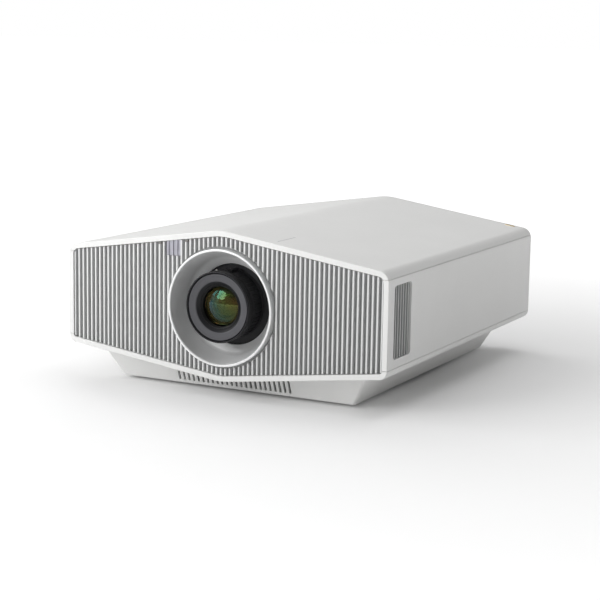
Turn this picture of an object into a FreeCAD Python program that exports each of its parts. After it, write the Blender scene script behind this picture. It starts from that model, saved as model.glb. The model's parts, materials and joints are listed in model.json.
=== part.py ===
"""Home-cinema projector, as the separate pieces that it comes apart into on a bench. Millimetres.

Row frame: +Z up, the lens looks along -Y, +X is to the right as one faces the lens.
The origin is on the table, under the middle of the body.

The case is a long prism with a shallow ridge along the top and a shallow keel along the bottom. A ribbed
grille fills its front, with the lens in a bowl-shaped trim ring in the middle. The case stands on a tapered
pedestal with an air intake in its front. Inside are the lens on its shift mechanism, the optical engine,
the laser light source with its phosphor wheel, two fans, the power supply and the main board.
"""
import FreeCAD
import Part
import math
import os

V = FreeCAD.Vector

# ---------------------------------------------------------------- driving dimensions
WIDTH = 460.0
DEPTH = 504.0
FOOT_HEIGHT = 4.0
RIDGE_Z = FOOT_HEIGHT + 210.0        # top of the ridge, before its rounding
SIDE_TOP_Z = FOOT_HEIGHT + 175.5     # where the roof meets the sides, before rounding
SIDE_BOTTOM_Z = FOOT_HEIGHT + 46.5
KEEL_Z = FOOT_HEIGHT + 17.0
SEAM_TOP_Z = FOOT_HEIGHT + 167.0
SEAM_BOTTOM_Z = FOOT_HEIGHT + 56.6
SEAM_GAP = 0.5

WALL = 3.0
EDGE_TOP_R = 15.0                    # long edges between the roof and the sides
EDGE_BOTTOM_R = 11.0
RIDGE_R = 85.0                       # the ridge and the keel are soft bends
FRONT_EDGE_R = 1.2
REAR_EDGE_R = 5.0
FRONT_RIM = 7.0                      # width of the rim round the grille
REAR_RIM = 12.0
FRONT_FLANGE = 6.0                   # thickness of that rim, front to back
REAR_FLANGE = 4.0

LENS_PROUD = 5.2                     # how far the focus ring stands in front of the case
FRONT_Y = -DEPTH / 2 + LENS_PROUD / 2
REAR_Y = DEPTH / 2 + LENS_PROUD / 2
HALF = WIDTH / 2

BOWL_Z = FOOT_HEIGHT + 112.0         # centre of the trim ring
RING_R = 74.6                        # outside of the trim ring
RING_PROUD = 4.6                     # how far its lip stands in front of the case
RING_HOLE_R = 52.3
LENS_X = -2.0                        # the lens as shifted: a little left of the ring's centre and above it
LENS_Z = BOWL_Z + 1.0
LENS_R = 45.3
BARREL_R = 42.4
COLLAR_R = 62.5                      # light-tight collar behind the trim ring
COLLAR_BORE = 43.9
COLLAR_THICK = 2.0

RIB_PITCH = 6.51
RIB_WIDTH = 2.0                      # at the rib's front
RIB_ROOT = 3.0                       # at its foot
RIB_END_GAP = 1.2                    # between the ribs' ends and the rim
RIB_RECESS = 1.4                     # rib fronts behind the case's front

SHIFT_PLATE_Y = FRONT_Y + 102.0
MOUNT_PLATE_Y = SHIFT_PLATE_Y + 13.0
LENS_REAR_Y = MOUNT_PLATE_Y + 26.0

CHASSIS_Z = 56.0
CHASSIS_TOP_Z = CHASSIS_Z + 2.0
BOARD_Z = 64.0

PEDESTAL_FRONT = FRONT_Y + 39.6      # outline of the pedestal's foot, and how it widens upwards
PEDESTAL_REAR = REAR_Y - 33.4
PEDESTAL_HALF = 169.5
PEDESTAL_SIDE_SLOPE = 0.57
PEDESTAL_FRONT_SLOPE = 0.42
PEDESTAL_REAR_SLOPE = 0.25

FRONT_FEET = [(-138.0, -168.0), (138.0, -168.0)]
REAR_FEET = [(-138.0, 178.0), (138.0, 178.0)]
CEILING_HOLES = [(sx * 70.0, sy * 80.0) for sx in (-1, 1) for sy in (-1, 1)]
CEILING_HOLE_R = 2.5

RIB_COUNT = int(HALF / RIB_PITCH)    # to each side of the middle one
GRILLE_THICK = 2.2                   # plate that the ribs stand on
GRILLE_Y = FRONT_Y + FRONT_FLANGE + 0.1
IR_X = (-81.0, -60.5)                # the remote receiver's window
IR_BOTTOM_Z = FOOT_HEIGHT + 172.5
IR_CLIP_RIBS = (-14, -8)             # ribs that stop short for the window's clips, counted from the middle

VENT_Y = (FRONT_Y + 17.0, FRONT_Y + 68.0)
VENT_Z = (FOOT_HEIGHT + 67.5, FOOT_HEIGHT + 158.0)
VENT_DEPTH = 6.0
VENT_BAYS = 7
INTAKE_X, INTAKE_HALF = 52.0, 34.0   # air openings in the bottom cover, over the pedestal's filter
INTAKE_Y = (-196.0, -120.0)

TERMINALS = (-178.0, 22.0, 70.0, 112.0)        # windows in the rear cover: x0, x1, z0, z1
MAINS = (138.0, 172.0, 74.0, 102.0)
CONTROLS = (62.0, 150.0, 120.0, 162.0)
REAR_SCREW_X = 120.0
REAR_SCREW_INSET = 8.2
SCREW_R, SCREW_HEAD_R, SCREW_SINK = 1.4, 2.8, 1.9
OUTLET_COUNT, OUTLET_PITCH, OUTLET_X = 28, 8.0, -176.0
OUTLET_Z = (130.0, 162.0)

FIT = 0.02                           # gap between pieces that rest on one another
RUN = 0.06                           # clearance of a sliding fit, on the radius
LENS_FRONT_Y = FRONT_Y - LENS_PROUD
FOCUS_BORE = 43.4                    # inside of the focus ring's front
FOCUS_LENGTH = 14.0
FOCUS_GROOVES, GROOVE_PITCH, GROOVE_WIDTH, GROOVE_DEPTH = 3, 2.2, 1.2, 0.7
ZOOM_R = 44.4
ZOOM_FLUTES = 48
ZOOM_KNOB_R = 48.6                   # top of the ridge on the zoom ring, from the lens axis
ZOOM_KNOB_ANGLE = math.radians(80.0)
BARREL_BORE = 39.4
COLLAR_Y = FRONT_Y + 37.5
ZOOM_Y = FRONT_Y + 48.0
ZOOM_LENS_R, REAR_LENS_R = 31.9, 29.9

GUIDE_R = 3.0                        # rods of the side plate
POST_R = 2.2                         # rod and screw of the vertical plate
SIDE_SCREW_R = 2.5
RAIL = 63.0                          # the side plate's rods above and below the lens axis
PLATE_HALF = 60.0
SHIFT_PLATE_THICK = 5.0
FLANGE_R = 56.0                      # the barrel's flange on the side plate
VERTICAL_SCREW_X = 80.0              # the vertical plate's screw and rod, left and right of the lens axis
VERTICAL_AXIS_Y = SHIFT_PLATE_Y + 8.5
SIDE_SCREW_Z = LENS_Z + 71.0
HOLDER_X = 46.0
DIAL_R = 11.0
SIDE_DIAL_R = 8.0

FOOT_STEM_R = 4.0
FOOT_WHEEL_R = 16.5
FOOT_PAD_R = 15.0
FOOT_GRIPS = 24
SLOT_COUNT, SLOT_PITCH, SLOT_HALF = 24, 7.05, 1.6   # air slots in the pedestal's front

PRISM_Y = MOUNT_PLATE_Y + 74.0
PRISM_SIDE = 38.0
RELAY_Y = PRISM_Y
ENGINE_LENGTH = 128.0
WHEEL_Y = RELAY_Y + 34.0
WHEEL_R = 32.0
LASER = (-186.0, -104.0, RELAY_Y - 30.0, RELAY_Y + 52.0, 74.0, 150.0)   # x0, x1, y0, y1, z0, z1
HEAT_SINK_Y = (LASER[3] + 12.0, LASER[3] + 92.0)
HEAT_PIPE_R = 3.0
FIN_COUNT, FIN_THICK = 20, 1.2
FAN_X = (191.0, 216.0)
FAN_Y = FRONT_Y + 52.0
FAN_Z = 113.0
FAN_SIDE = 80.0
FAN_BLADES, FAN_BLADE_ANGLE = 9, math.radians(34.0)
BOARD_THICK = 1.6

PLATE_Y = REAR_Y - REAR_FLANGE - 3.15          # outer face of the terminal plate, behind the rear cover
SOCKET_DEPTH = 19.0
PANEL_FACE = REAR_Y - 1.5
PANEL_THICK = 3.0


# ---------------------------------------------------------------- helpers
def box(x0, x1, y0, y1, z0, z1):
    return Part.makeBox(x1 - x0, y1 - y0, z1 - z0, V(x0, y0, z0))


def rod(radius, start, end):
    """A round bar between two points."""
    a, b = V(*start), V(*end)
    return Part.makeCylinder(radius, (b - a).Length, a, b - a)


def along_y(radius, y0, y1, x, z):
    return rod(radius, (x, y0, z), (x, y1, z))


def tube_y(outer, inner, y0, y1, x, z):
    return along_y(outer, y0, y1, x, z).cut(along_y(inner, y0 - 1, y1 + 1, x, z))


def fuse(shapes):
    shapes = list(shapes)
    if len(shapes) == 1:
        return shapes[0]
    return shapes[0].multiFuse(shapes[1:]).removeSplitter()


def cut(shape, tools):
    tools = list(tools)
    return shape.cut(Part.makeCompound(tools)) if tools else shape


def group(shapes):
    """Separate pieces that share one node."""
    return Part.makeCompound(list(shapes))


def mirror_x(shape):
    """The same piece on the other side. It is rebuilt as a solid, so that its faces look outwards."""
    return shape.mirror(V(0, 0, 0), V(1, 0, 0))


def soften(shape, radius, wanted):
    """Rounds the edges that wanted(edge) picks."""
    edges = [e for e in shape.Edges if wanted(e)]
    return shape.makeFillet(radius, edges)


def parallel(edge, direction):
    if not isinstance(edge.Curve, Part.Line):
        return False
    d = edge.Vertexes[1].Point - edge.Vertexes[0].Point
    return abs(d.normalize().dot(direction)) > 0.999


def rounded_box(x0, x1, y0, y1, z0, z1, radius, axis="y"):
    direction = {"x": V(1, 0, 0), "y": V(0, 1, 0), "z": V(0, 0, 1)}[axis]
    return soften(box(x0, x1, y0, y1, z0, z1), radius, lambda e: parallel(e, direction))


def revolve_y(points, x, z):
    """A turned piece about an axis along Y. points is a closed outline of (radius, y); a point with three
    values, (radius, y, "arc"), is the middle point of an arc between its neighbours."""
    edges = []
    loop = points + [points[0]]
    i = 0
    while i < len(loop) - 1:
        a = V(x + loop[i][0], loop[i][1], z)
        if len(loop[i + 1]) == 3:
            middle = V(x + loop[i + 1][0], loop[i + 1][1], z)
            b = V(x + loop[i + 2][0], loop[i + 2][1], z)
            edges.append(Part.Arc(a, middle, b).toShape())
            i += 2
        else:
            b = V(x + loop[i + 1][0], loop[i + 1][1], z)
            edges.append(Part.makeLine(a, b))
            i += 1
    face = Part.Face(Part.Wire(edges))
    return face.revolve(V(x, 0, z), V(0, 1, 0), 360)


# ---------------------------------------------------------------- the case's outline
OUTLINE = [  # (x, z), anticlockwise seen from the front, and the rounding of each corner
    (-HALF, SIDE_BOTTOM_Z, EDGE_BOTTOM_R),
    (0.0, KEEL_Z, RIDGE_R),
    (HALF, SIDE_BOTTOM_Z, EDGE_BOTTOM_R),
    (HALF, SIDE_TOP_Z, EDGE_TOP_R),
    (0.0, RIDGE_Z, RIDGE_R),
    (-HALF, SIDE_TOP_Z, EDGE_TOP_R),
]


def inset_corners(inset):
    """The outline's corners moved inwards, with the rounding that keeps the wall even."""
    n = len(OUTLINE)
    lines = []
    for i in range(n):
        ax, az, _ = OUTLINE[i]
        bx, bz, _ = OUTLINE[(i + 1) % n]
        length = math.hypot(bx - ax, bz - az)
        nx, nz = -(bz - az) / length, (bx - ax) / length
        lines.append((nx, nz, nx * ax + nz * az + inset))
    corners = []
    for i in range(n):
        a1, b1, c1 = lines[i - 1]
        a2, b2, c2 = lines[i]
        det = a1 * b2 - a2 * b1
        rounding = max(OUTLINE[i][2] - inset, 3.0)
        corners.append(((c1 * b2 - c2 * b1) / det, (a1 * c2 - a2 * c1) / det, rounding))
    return corners


def rounded_wire(corners, y):
    """A closed wire through (x, z, radius) corners, with arcs at the corners."""
    n = len(corners)
    starts, ends, middles = [], [], []
    for i in range(n):
        p = V(corners[i][0], y, corners[i][1])
        before = V(corners[i - 1][0], y, corners[i - 1][1])
        after = V(corners[(i + 1) % n][0], y, corners[(i + 1) % n][1])
        u, w = (before - p).normalize(), (after - p).normalize()
        half_angle = math.acos(max(-1.0, min(1.0, u.dot(w)))) / 2
        radius = corners[i][2]
        reach = radius / math.tan(half_angle)
        centre = p + (u + w).normalize() * (radius / math.sin(half_angle))
        starts.append(p + u * reach)
        ends.append(p + w * reach)
        middles.append(centre + (p - centre).normalize() * radius)
    edges = []
    for i in range(n):
        edges.append(Part.Arc(starts[i], middles[i], ends[i]).toShape())
        edges.append(Part.makeLine(ends[i], starts[(i + 1) % n]))
    return Part.Wire(edges)


def prism(inset, y0, y1):
    """The case's outline, moved inwards, from y0 to y1."""
    return Part.Face(rounded_wire(inset_corners(inset), y0)).extrude(V(0, y1 - y0, 0))


def roof_z(x):
    """Height of the unrounded roof at x."""
    return RIDGE_Z - (RIDGE_Z - SIDE_TOP_Z) * abs(x) / HALF


def keel_z(x):
    """Height of the unrounded underside at x."""
    return KEEL_Z + (SIDE_BOTTOM_Z - KEEL_Z) * abs(x) / HALF


# ---------------------------------------------------------------- the case
def rear_screw_places():
    """Six screws in the rear rim, on its flat part."""
    inset = REAR_SCREW_INSET
    slope_top = math.hypot(1, (RIDGE_Z - SIDE_TOP_Z) / HALF)
    slope_bottom = math.hypot(1, (SIDE_BOTTOM_Z - KEEL_Z) / HALF)
    places = []
    for side in (-1, 1):
        places.append((side * REAR_SCREW_X, roof_z(REAR_SCREW_X) - inset * slope_top))
        places.append((side * (HALF - inset), 116.0))
        places.append((side * REAR_SCREW_X, keel_z(REAR_SCREW_X) + inset * slope_bottom))
    return places


def case_shell():
    outer = prism(0.0, FRONT_Y, REAR_Y)
    outer = soften(outer, FRONT_EDGE_R, lambda e: e.BoundBox.YMax < FRONT_Y + 0.01)
    outer = soften(outer, REAR_EDGE_R, lambda e: e.BoundBox.YMin > REAR_Y - 0.01)
    hollow = prism(WALL, FRONT_Y + FRONT_FLANGE, REAR_Y - REAR_FLANGE)
    front = prism(FRONT_RIM, FRONT_Y - 1, FRONT_Y + FRONT_FLANGE + 1)
    rear = prism(REAR_RIM, REAR_Y - REAR_FLANGE - 1, REAR_Y + 1)
    shell = cut(outer, [hollow, front, rear])
    screws = []
    for x, z in rear_screw_places():
        screws.append(along_y(SCREW_R + 0.15, REAR_Y - 8, REAR_Y + 1, x, z))
        screws.append(along_y(SCREW_HEAD_R + 0.3, REAR_Y - SCREW_SINK, REAR_Y + 1, x, z))
    return cut(shell, screws)


def slab(z0, z1):
    return box(-HALF - 5, HALF + 5, FRONT_Y - 5, REAR_Y + 5, z0, z1)


def top_cover(shell):
    return shell.common(slab(SEAM_TOP_Z + SEAM_GAP / 2, RIDGE_Z + 5))


def bottom_cover(shell):
    low = shell.common(slab(0, SEAM_BOTTOM_Z - SEAM_GAP / 2))
    intake = [rounded_box(x - INTAKE_HALF, x + INTAKE_HALF, *INTAKE_Y, 0, SEAM_BOTTOM_Z, 6, "z")
              for x in (-INTAKE_X, INTAKE_X)]
    return cut(low, intake)


def side_panels(shell):
    band = shell.common(slab(SEAM_BOTTOM_Z + SEAM_GAP / 2, SEAM_TOP_Z - SEAM_GAP / 2))
    window = rounded_box(-HALF - 5, HALF + 5, VENT_Y[0], VENT_Y[1], VENT_Z[0], VENT_Z[1], 5, "x")
    band = band.cut(window)
    left = band.common(box(-HALF - 5, 0, FRONT_Y - 5, REAR_Y + 5, 0, 300))
    right = band.common(box(0, HALF + 5, FRONT_Y - 5, REAR_Y + 5, 0, 300))
    return left, right


def side_vent():
    """Slats in a frame behind the right panel's window. They lean back, so nothing shows through."""
    y0, y1, z0, z1 = VENT_Y[0], VENT_Y[1], VENT_Z[0], VENT_Z[1]
    frame = rounded_box(HALF - VENT_DEPTH, HALF - WALL - 0.05, y0 - 4, y1 + 4, z0 - 4, z1 + 4, 6, "x")
    opening = rounded_box(HALF - VENT_DEPTH - 2, HALF, y0 + 0.4, y1 - 0.4, z0 + 0.4, z1 - 0.4, 4.6, "x")
    frame = frame.cut(opening)
    pitch = (y1 - y0) / VENT_BAYS
    slats = []
    for i in range(1, VENT_BAYS):
        y = y0 + pitch * i
        front = [(HALF - 1.0, y - 1.5), (HALF - 1.0, y + 0.6)]
        root = [(HALF - VENT_DEPTH, y + 3.4), (HALF - VENT_DEPTH, y - 0.2)]
        corners = front + root
        wire = Part.makePolygon([V(x, yy, z0 - 1) for x, yy in corners + corners[:1]])
        slats.append(Part.Face(wire).extrude(V(0, 0, z1 - z0 + 2)))
    inside = rounded_box(HALF - VENT_DEPTH - 2, HALF, y0 + 0.3, y1 - 0.3, z0 + 0.3, z1 - 0.3, 4.7, "x")
    slats = [s.common(inside) for s in slats]
    return fuse([frame] + slats)


def front_grille():
    """A ribbed plate behind the rim, with a hole for the trim ring and a notch for the window."""
    root_y = GRILLE_Y
    tip_y = FRONT_Y + RIB_RECESS
    points = [V(-HALF, root_y + 1, 0), V(-HALF, root_y, 0)]
    for i in range(-RIB_COUNT, RIB_COUNT + 1):
        x = i * RIB_PITCH
        points += [V(x - RIB_ROOT / 2, root_y, 0), V(x - RIB_WIDTH / 2, tip_y, 0)]
        points += [V(x + RIB_WIDTH / 2, tip_y, 0), V(x + RIB_ROOT / 2, root_y, 0)]
    points += [V(HALF, root_y, 0), V(HALF, root_y + 1, 0)]
    comb = Part.Face(Part.makePolygon(points + points[:1])).extrude(V(0, 0, RIDGE_Z))
    comb = comb.common(prism(FRONT_RIM + RIB_END_GAP, FRONT_Y, root_y + 2))
    clip_notches = []
    for i in IR_CLIP_RIBS:
        x = i * RIB_PITCH
        clip_notches.append(box(x - 2, x + 2, FRONT_Y - 1, root_y, roof_z(x) - FRONT_RIM - 4.0, RIDGE_Z))
    ring = along_y(RING_R + 2.8, FRONT_Y - 1, root_y + 3, 0, BOWL_Z)
    comb = cut(comb, [ring, ir_pocket(0.25)] + clip_notches)
    plate = prism(WALL + 0.5, root_y, root_y + GRILLE_THICK)
    plate = plate.cut(along_y(RING_R + 0.3, FRONT_Y, root_y + 5, 0, BOWL_Z))
    behind = box(IR_X[0] + 3, IR_X[1] - 3, root_y - 1, root_y + 5, IR_BOTTOM_Z + 3, IR_BOTTOM_Z + 13)
    plate = plate.cut(behind)
    return fuse([plate, comb])


def ir_pocket(grow):
    """The space that the window takes up in the ribs, wider all round by grow."""
    return box(IR_X[0] - grow, IR_X[1] + grow, FRONT_Y - 1, GRILLE_Y, IR_BOTTOM_Z - grow, RIDGE_Z)


def ir_window():
    """The remote receiver's window. Its face carries on the grille's ribs, lower."""
    root_y = GRILLE_Y
    body = box(IR_X[0], IR_X[1], FRONT_Y + RIB_RECESS + 1.6, root_y, IR_BOTTOM_Z, RIDGE_Z)
    first = math.ceil(IR_X[0] / RIB_PITCH)
    last = math.floor(IR_X[1] / RIB_PITCH)
    ribs = []
    for i in range(first, last + 1):
        x = i * RIB_PITCH
        ribs.append(box(x - 0.8, x + 0.8, FRONT_Y + RIB_RECESS + 0.3, root_y, IR_BOTTOM_Z, RIDGE_Z))
    return fuse([body] + ribs).common(prism(FRONT_RIM + 0.3, FRONT_Y, root_y + 2))


def rear_cover():
    """Sits behind the rear rim, with its middle standing forward into the rim's opening."""
    back = REAR_Y - REAR_FLANGE - 0.1
    plate = prism(WALL + 0.5, back - 3.0, back)
    raised = prism(REAR_RIM + 0.35, back - 3.0, REAR_Y - 1.5)
    cover = fuse([plate, raised])
    tools = []
    for x0, x1, z0, z1 in (TERMINALS, MAINS, CONTROLS):
        tools.append(rounded_box(x0, x1, back - 5, REAR_Y, z0, z1, 3))
    for i in range(OUTLET_COUNT):
        x = OUTLET_X + OUTLET_PITCH * i
        tools.append(rounded_box(x - 1.8, x + 1.8, back - 5, REAR_Y, *OUTLET_Z, 1.7))
    for x, z in rear_screw_places():
        tools.append(along_y(SCREW_R + 0.1, back - 5, REAR_Y, x, z))
    lock_slot = rounded_box(182, 190, back - 5, REAR_Y, 84.5, 87.5, 1.2)
    tools.append(lock_slot)
    return cut(cover, tools)


def case_screws():
    made = []
    for x, z in rear_screw_places():
        head = along_y(SCREW_HEAD_R, REAR_Y - SCREW_SINK, REAR_Y - 0.3, x, z)
        shank = along_y(SCREW_R, REAR_Y - 10, REAR_Y - SCREW_SINK, x, z)
        cross = [box(x - 1.6, x + 1.6, REAR_Y - 1.2, REAR_Y, z - 0.35, z + 0.35)]
        cross.append(box(x - 0.35, x + 0.35, REAR_Y - 1.2, REAR_Y, z - 1.6, z + 1.6))
        made.append(cut(fuse([head, shank]), cross))
    return group(made)


# ---------------------------------------------------------------- pedestal and feet
def frustum(inset, z0, z1):
    """The pedestal's block between two heights, smaller all round by inset."""
    wires = []
    for z in (z0, z1):
        up = z - FOOT_HEIGHT
        x = PEDESTAL_HALF + PEDESTAL_SIDE_SLOPE * up - inset
        y0 = PEDESTAL_FRONT - PEDESTAL_FRONT_SLOPE * up + inset
        y1 = PEDESTAL_REAR + PEDESTAL_REAR_SLOPE * up - inset
        corners = [V(-x, y0, z), V(x, y0, z), V(x, y1, z), V(-x, y1, z)]
        wires.append(Part.makePolygon(corners + corners[:1]))
    return Part.makeLoft(wires, True, True)


def pedestal():
    top = SIDE_BOTTOM_Z
    body = frustum(0.0, FOOT_HEIGHT, top)
    body = soften(body, 4.0, lambda e: e.BoundBox.ZLength > 10)
    body = soften(body, 1.5, lambda e: e.BoundBox.ZMax < FOOT_HEIGHT + 0.01)
    hollow = frustum(3.5, FOOT_HEIGHT + 3.5, top + 1)
    body = body.cut(hollow)
    bosses = []
    holes = []
    for x, y in FRONT_FEET:
        bosses.append(rod(23.0, (x, y, FOOT_HEIGHT + 1), (x, y, 31)))
        holes.append(rod(18.0, (x, y, 0), (x, y, 10)))
        holes.append(rod(FOOT_STEM_R + 0.05, (x, y, 0), (x, y, 40)))
    for x, y in CEILING_HOLES:
        bosses.append(rod(6.0, (x, y, FOOT_HEIGHT + 1), (x, y, keel_z(abs(x) - 6) - 0.3)))
        holes.append(rod(CEILING_HOLE_R, (x, y, 0), (x, y, 19.0)))
    body = fuse([body] + bosses)
    for i in range(SLOT_COUNT):
        x = (i - (SLOT_COUNT - 1) / 2) * SLOT_PITCH
        z1 = keel_z(x) - 2.4
        y0, y1 = PEDESTAL_FRONT - 22, PEDESTAL_FRONT + 6
        holes.append(box(x - SLOT_HALF, x + SLOT_HALF, y0, y1, FOOT_HEIGHT + 4.6, z1))
    body = cut(body, holes)
    return body.cut(prism(-0.02, FRONT_Y - 10, REAR_Y + 10))


def intake_filter():
    """A pleated dust filter behind the slots, in a frame."""
    y0 = PEDESTAL_FRONT + 8.0
    z0, z1 = FOOT_HEIGHT + 3.6, keel_z(0) - 0.6
    frame = box(-90, 90, y0, y0 + 9, z0, z1).cut(box(-87.5, 87.5, y0 - 1, y0 + 10, z0 + 2, z1 - 2))
    pleats = 25
    pitch = 175.0 / pleats
    front = [V(-87.6 + pitch * i / 2, y0 + (1.0 if i % 2 else 7.0), z0 + 1.9) for i in range(2 * pleats + 1)]
    front[-1].x = 87.6
    back = [p + V(0, 0.9, 0) for p in reversed(front)]
    sheet = Part.Face(Part.makePolygon(front + back + front[:1])).extrude(V(0, 0, z1 - z0 - 3.8))
    return fuse([frame, sheet])


def foot_pad(x, y):
    pad = rod(FOOT_PAD_R, (x, y, 0), (x, y, FOOT_HEIGHT - 0.1))
    pad = soften(pad, 1.0, lambda e: e.BoundBox.ZMax < 0.01)
    return pad.cut(rod(3.05, (x, y, 2.4), (x, y, 5)))


def foot_screw(x, y):
    wheel = rod(FOOT_WHEEL_R, (x, y, FOOT_HEIGHT), (x, y, FOOT_HEIGHT + 5.0))
    grips = []
    for i in range(FOOT_GRIPS):
        a = 2 * math.pi * i / FOOT_GRIPS
        gx, gy = x + (FOOT_WHEEL_R + 0.7) * math.cos(a), y + (FOOT_WHEEL_R + 0.7) * math.sin(a)
        grips.append(rod(1.6, (gx, gy, FOOT_HEIGHT - 1.0), (gx, gy, FOOT_HEIGHT + 6.0)))
    wheel = cut(wheel, grips)
    stem = rod(FOOT_STEM_R, (x, y, FOOT_HEIGHT + 5.0), (x, y, 33.0))
    nose = rod(3.0, (x, y, 2.5), (x, y, FOOT_HEIGHT))
    return fuse([wheel, stem, nose])


def rear_feet():
    feet = []
    for x, y in REAR_FEET:
        pad = rod(FOOT_PAD_R, (x, y, 0), (x, y, FOOT_HEIGHT))
        feet.append(soften(pad, 1.0, lambda e: e.BoundBox.ZMax < 0.01))
    return group(feet)


# ---------------------------------------------------------------- trim ring and lens
def lens_trim_ring():
    """A bright lip, a bowl that curves in, and a flatter floor with the hole that the lens looks out of."""
    lip = FRONT_Y - RING_PROUD
    inner = RING_R - 3.2
    floor_y = FRONT_Y + 27.0
    hole_y = FRONT_Y + 33.0
    outline = [
        (RING_R - 0.9, lip), (RING_R - 0.25, lip + 0.35, "arc"), (RING_R, lip + 1.2),
        (RING_R, FRONT_Y + FRONT_FLANGE + 6.0), (RING_R - 1.5, FRONT_Y + FRONT_FLANGE + 7.0),
        (66.8, floor_y + 1.2), (63.4, floor_y + 3.4), (RING_HOLE_R, hole_y + 2.6), (RING_HOLE_R, hole_y),
        (60.6, floor_y + 0.6), (62.6, floor_y - 1.4, "arc"), (64.2, floor_y - 4.6),
        (69.0, FRONT_Y + 10.0, "arc"), (inner - 0.3, lip + 2.4),
        (inner, lip + 0.9, "arc"), (inner + 0.8, lip),
    ]
    return revolve_y(outline, 0, BOWL_Z)


def focus_ring():
    """The ring round the front of the lens, with three fine grooves for the fingers behind its edge."""
    y = LENS_FRONT_Y
    groove, deep = LENS_R - GROOVE_DEPTH, FOCUS_BORE
    outline = [(deep, y + 0.9), (44.1, y), (44.9, y + 0.3, "arc"), (LENS_R, y + 1.2)]
    for i in range(FOCUS_GROOVES):
        start = y + 3.0 + GROOVE_PITCH * i
        end = start + GROOVE_WIDTH
        outline += [(LENS_R, start), (groove, start + 0.3), (groove, end - 0.3), (LENS_R, end)]
    outline += [(LENS_R, y + FOCUS_LENGTH), (BARREL_R + RUN, y + FOCUS_LENGTH), (BARREL_R + RUN, y + 10.0)]
    outline.append((deep, y + 9.6))
    return revolve_y(outline, LENS_X, LENS_Z)


def zoom_ring():
    """The slim ring behind the focus ring, finely fluted, with a ridge along its top to turn it by."""
    y0, y1 = LENS_FRONT_Y + FOCUS_LENGTH + 0.4, FRONT_Y + 31.0
    ring = tube_y(ZOOM_R, BARREL_R + RUN, y0, y1, LENS_X, LENS_Z)
    flutes = []
    for i in range(ZOOM_FLUTES):
        a = 2 * math.pi * i / ZOOM_FLUTES
        x, z = LENS_X + (ZOOM_R + 0.5) * math.cos(a), LENS_Z + (ZOOM_R + 0.5) * math.sin(a)
        flutes.append(along_y(1.1, y0 + 2.0, y1 - 2.0, x, z))
    ridge = rounded_box(-2.6, 2.6, y0 + 3.0, y1 - 1.0, BARREL_R + 0.5, ZOOM_KNOB_R, 1.4)
    ridge.rotate(V(0, 0, 0), V(0, 1, 0), math.degrees(math.pi / 2 - ZOOM_KNOB_ANGLE))
    ridge.translate(V(LENS_X, 0, LENS_Z))
    return fuse([cut(ring, flutes), ridge])


def lens_barrel():
    """The fixed tube with its flange on the side plate, and the light-tight collar pressed on to it."""
    y0, y1 = LENS_FRONT_Y + 9.0, LENS_REAR_Y
    skin = BARREL_R - 0.4
    tube = tube_y(BARREL_R, BARREL_BORE, y0, y1, LENS_X, LENS_Z)
    seat = tube_y(COLLAR_BORE, skin, FRONT_Y + 31.6, COLLAR_Y + COLLAR_THICK, LENS_X, LENS_Z)
    flange = tube_y(FLANGE_R, skin, SHIFT_PLATE_Y - 4.0, SHIFT_PLATE_Y, LENS_X, LENS_Z)
    rear = tube_y(BARREL_BORE + 0.6, REAR_LENS_R + 0.1, y1 - 3.0, y1, LENS_X, LENS_Z)
    collar = tube_y(COLLAR_R, COLLAR_BORE, COLLAR_Y, COLLAR_Y + COLLAR_THICK, LENS_X, LENS_Z)
    return group([fuse([tube, seat, flange, rear]), collar])


def front_lens_cell():
    """The grey face round the front glass, stepping in to a black throat."""
    y = LENS_FRONT_Y
    outline = [
        (42.2, y + 1.9), (42.2, y + 6.4), (39.0, y + 6.4), (39.0, y + 17.0), (24.6, y + 17.0),
        (24.6, y + 14.6), (25.6, y + 14.6), (25.6, y + 9.0), (27.6, y + 7.4), (27.6, y + 6.2),
        (28.3, y + 6.0), (28.3, y + 6.9), (32.6, y + 3.2), (33.4, y + 2.6), (41.5, y + 1.4),
        (42.0, y + 1.5, "arc"),
    ]
    return revolve_y(outline, LENS_X, LENS_Z)


def ball(radius, y, x=LENS_X, z=LENS_Z):
    return Part.makeSphere(radius, V(x, y, z))


def cap_radius(radius, bulge):
    """Radius of the sphere whose cap of the given radius stands out by bulge."""
    return (radius ** 2 + bulge ** 2) / (2 * bulge)


def front_lens():
    """The front glass: a strong meniscus, bulging forwards."""
    rim_y = LENS_FRONT_Y + 13.6
    rim, crown, thickness = 25.5, 8.0, 5.2
    curve = cap_radius(rim, crown)
    glass = along_y(rim, rim_y - crown - 1, rim_y + 0.9, LENS_X, LENS_Z)
    glass = glass.common(ball(curve, rim_y - crown + curve))
    hollow = cap_radius(20.0, crown - thickness)
    return glass.cut(ball(hollow, rim_y - crown + thickness + hollow))


def disc_lens(radius, y0, y1, bulge):
    """A lens with both faces bulging."""
    curve = cap_radius(radius, bulge)
    glass = along_y(radius, y0 - bulge - 1, y1 + bulge + 1, LENS_X, LENS_Z)
    glass = glass.common(ball(curve, y0 - bulge + curve))
    return glass.common(ball(curve, y1 + bulge - curve))


def zoom_cell():
    """The sliding cell inside the barrel, with a seat for its lens."""
    cell = tube_y(BARREL_BORE - 0.4, ZOOM_LENS_R - 1.9, ZOOM_Y - 7.0, ZOOM_Y + 7.0, LENS_X, LENS_Z)
    return cell.cut(along_y(ZOOM_LENS_R + 0.1, ZOOM_Y - 5.0, ZOOM_Y + 5.0, LENS_X, LENS_Z))


def zoom_lens():
    return disc_lens(ZOOM_LENS_R, ZOOM_Y - 2.0, ZOOM_Y + 2.0, 2.4)


def rear_lens():
    return disc_lens(REAR_LENS_R, LENS_REAR_Y - 2.6, LENS_REAR_Y - 0.4, 2.0)


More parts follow.
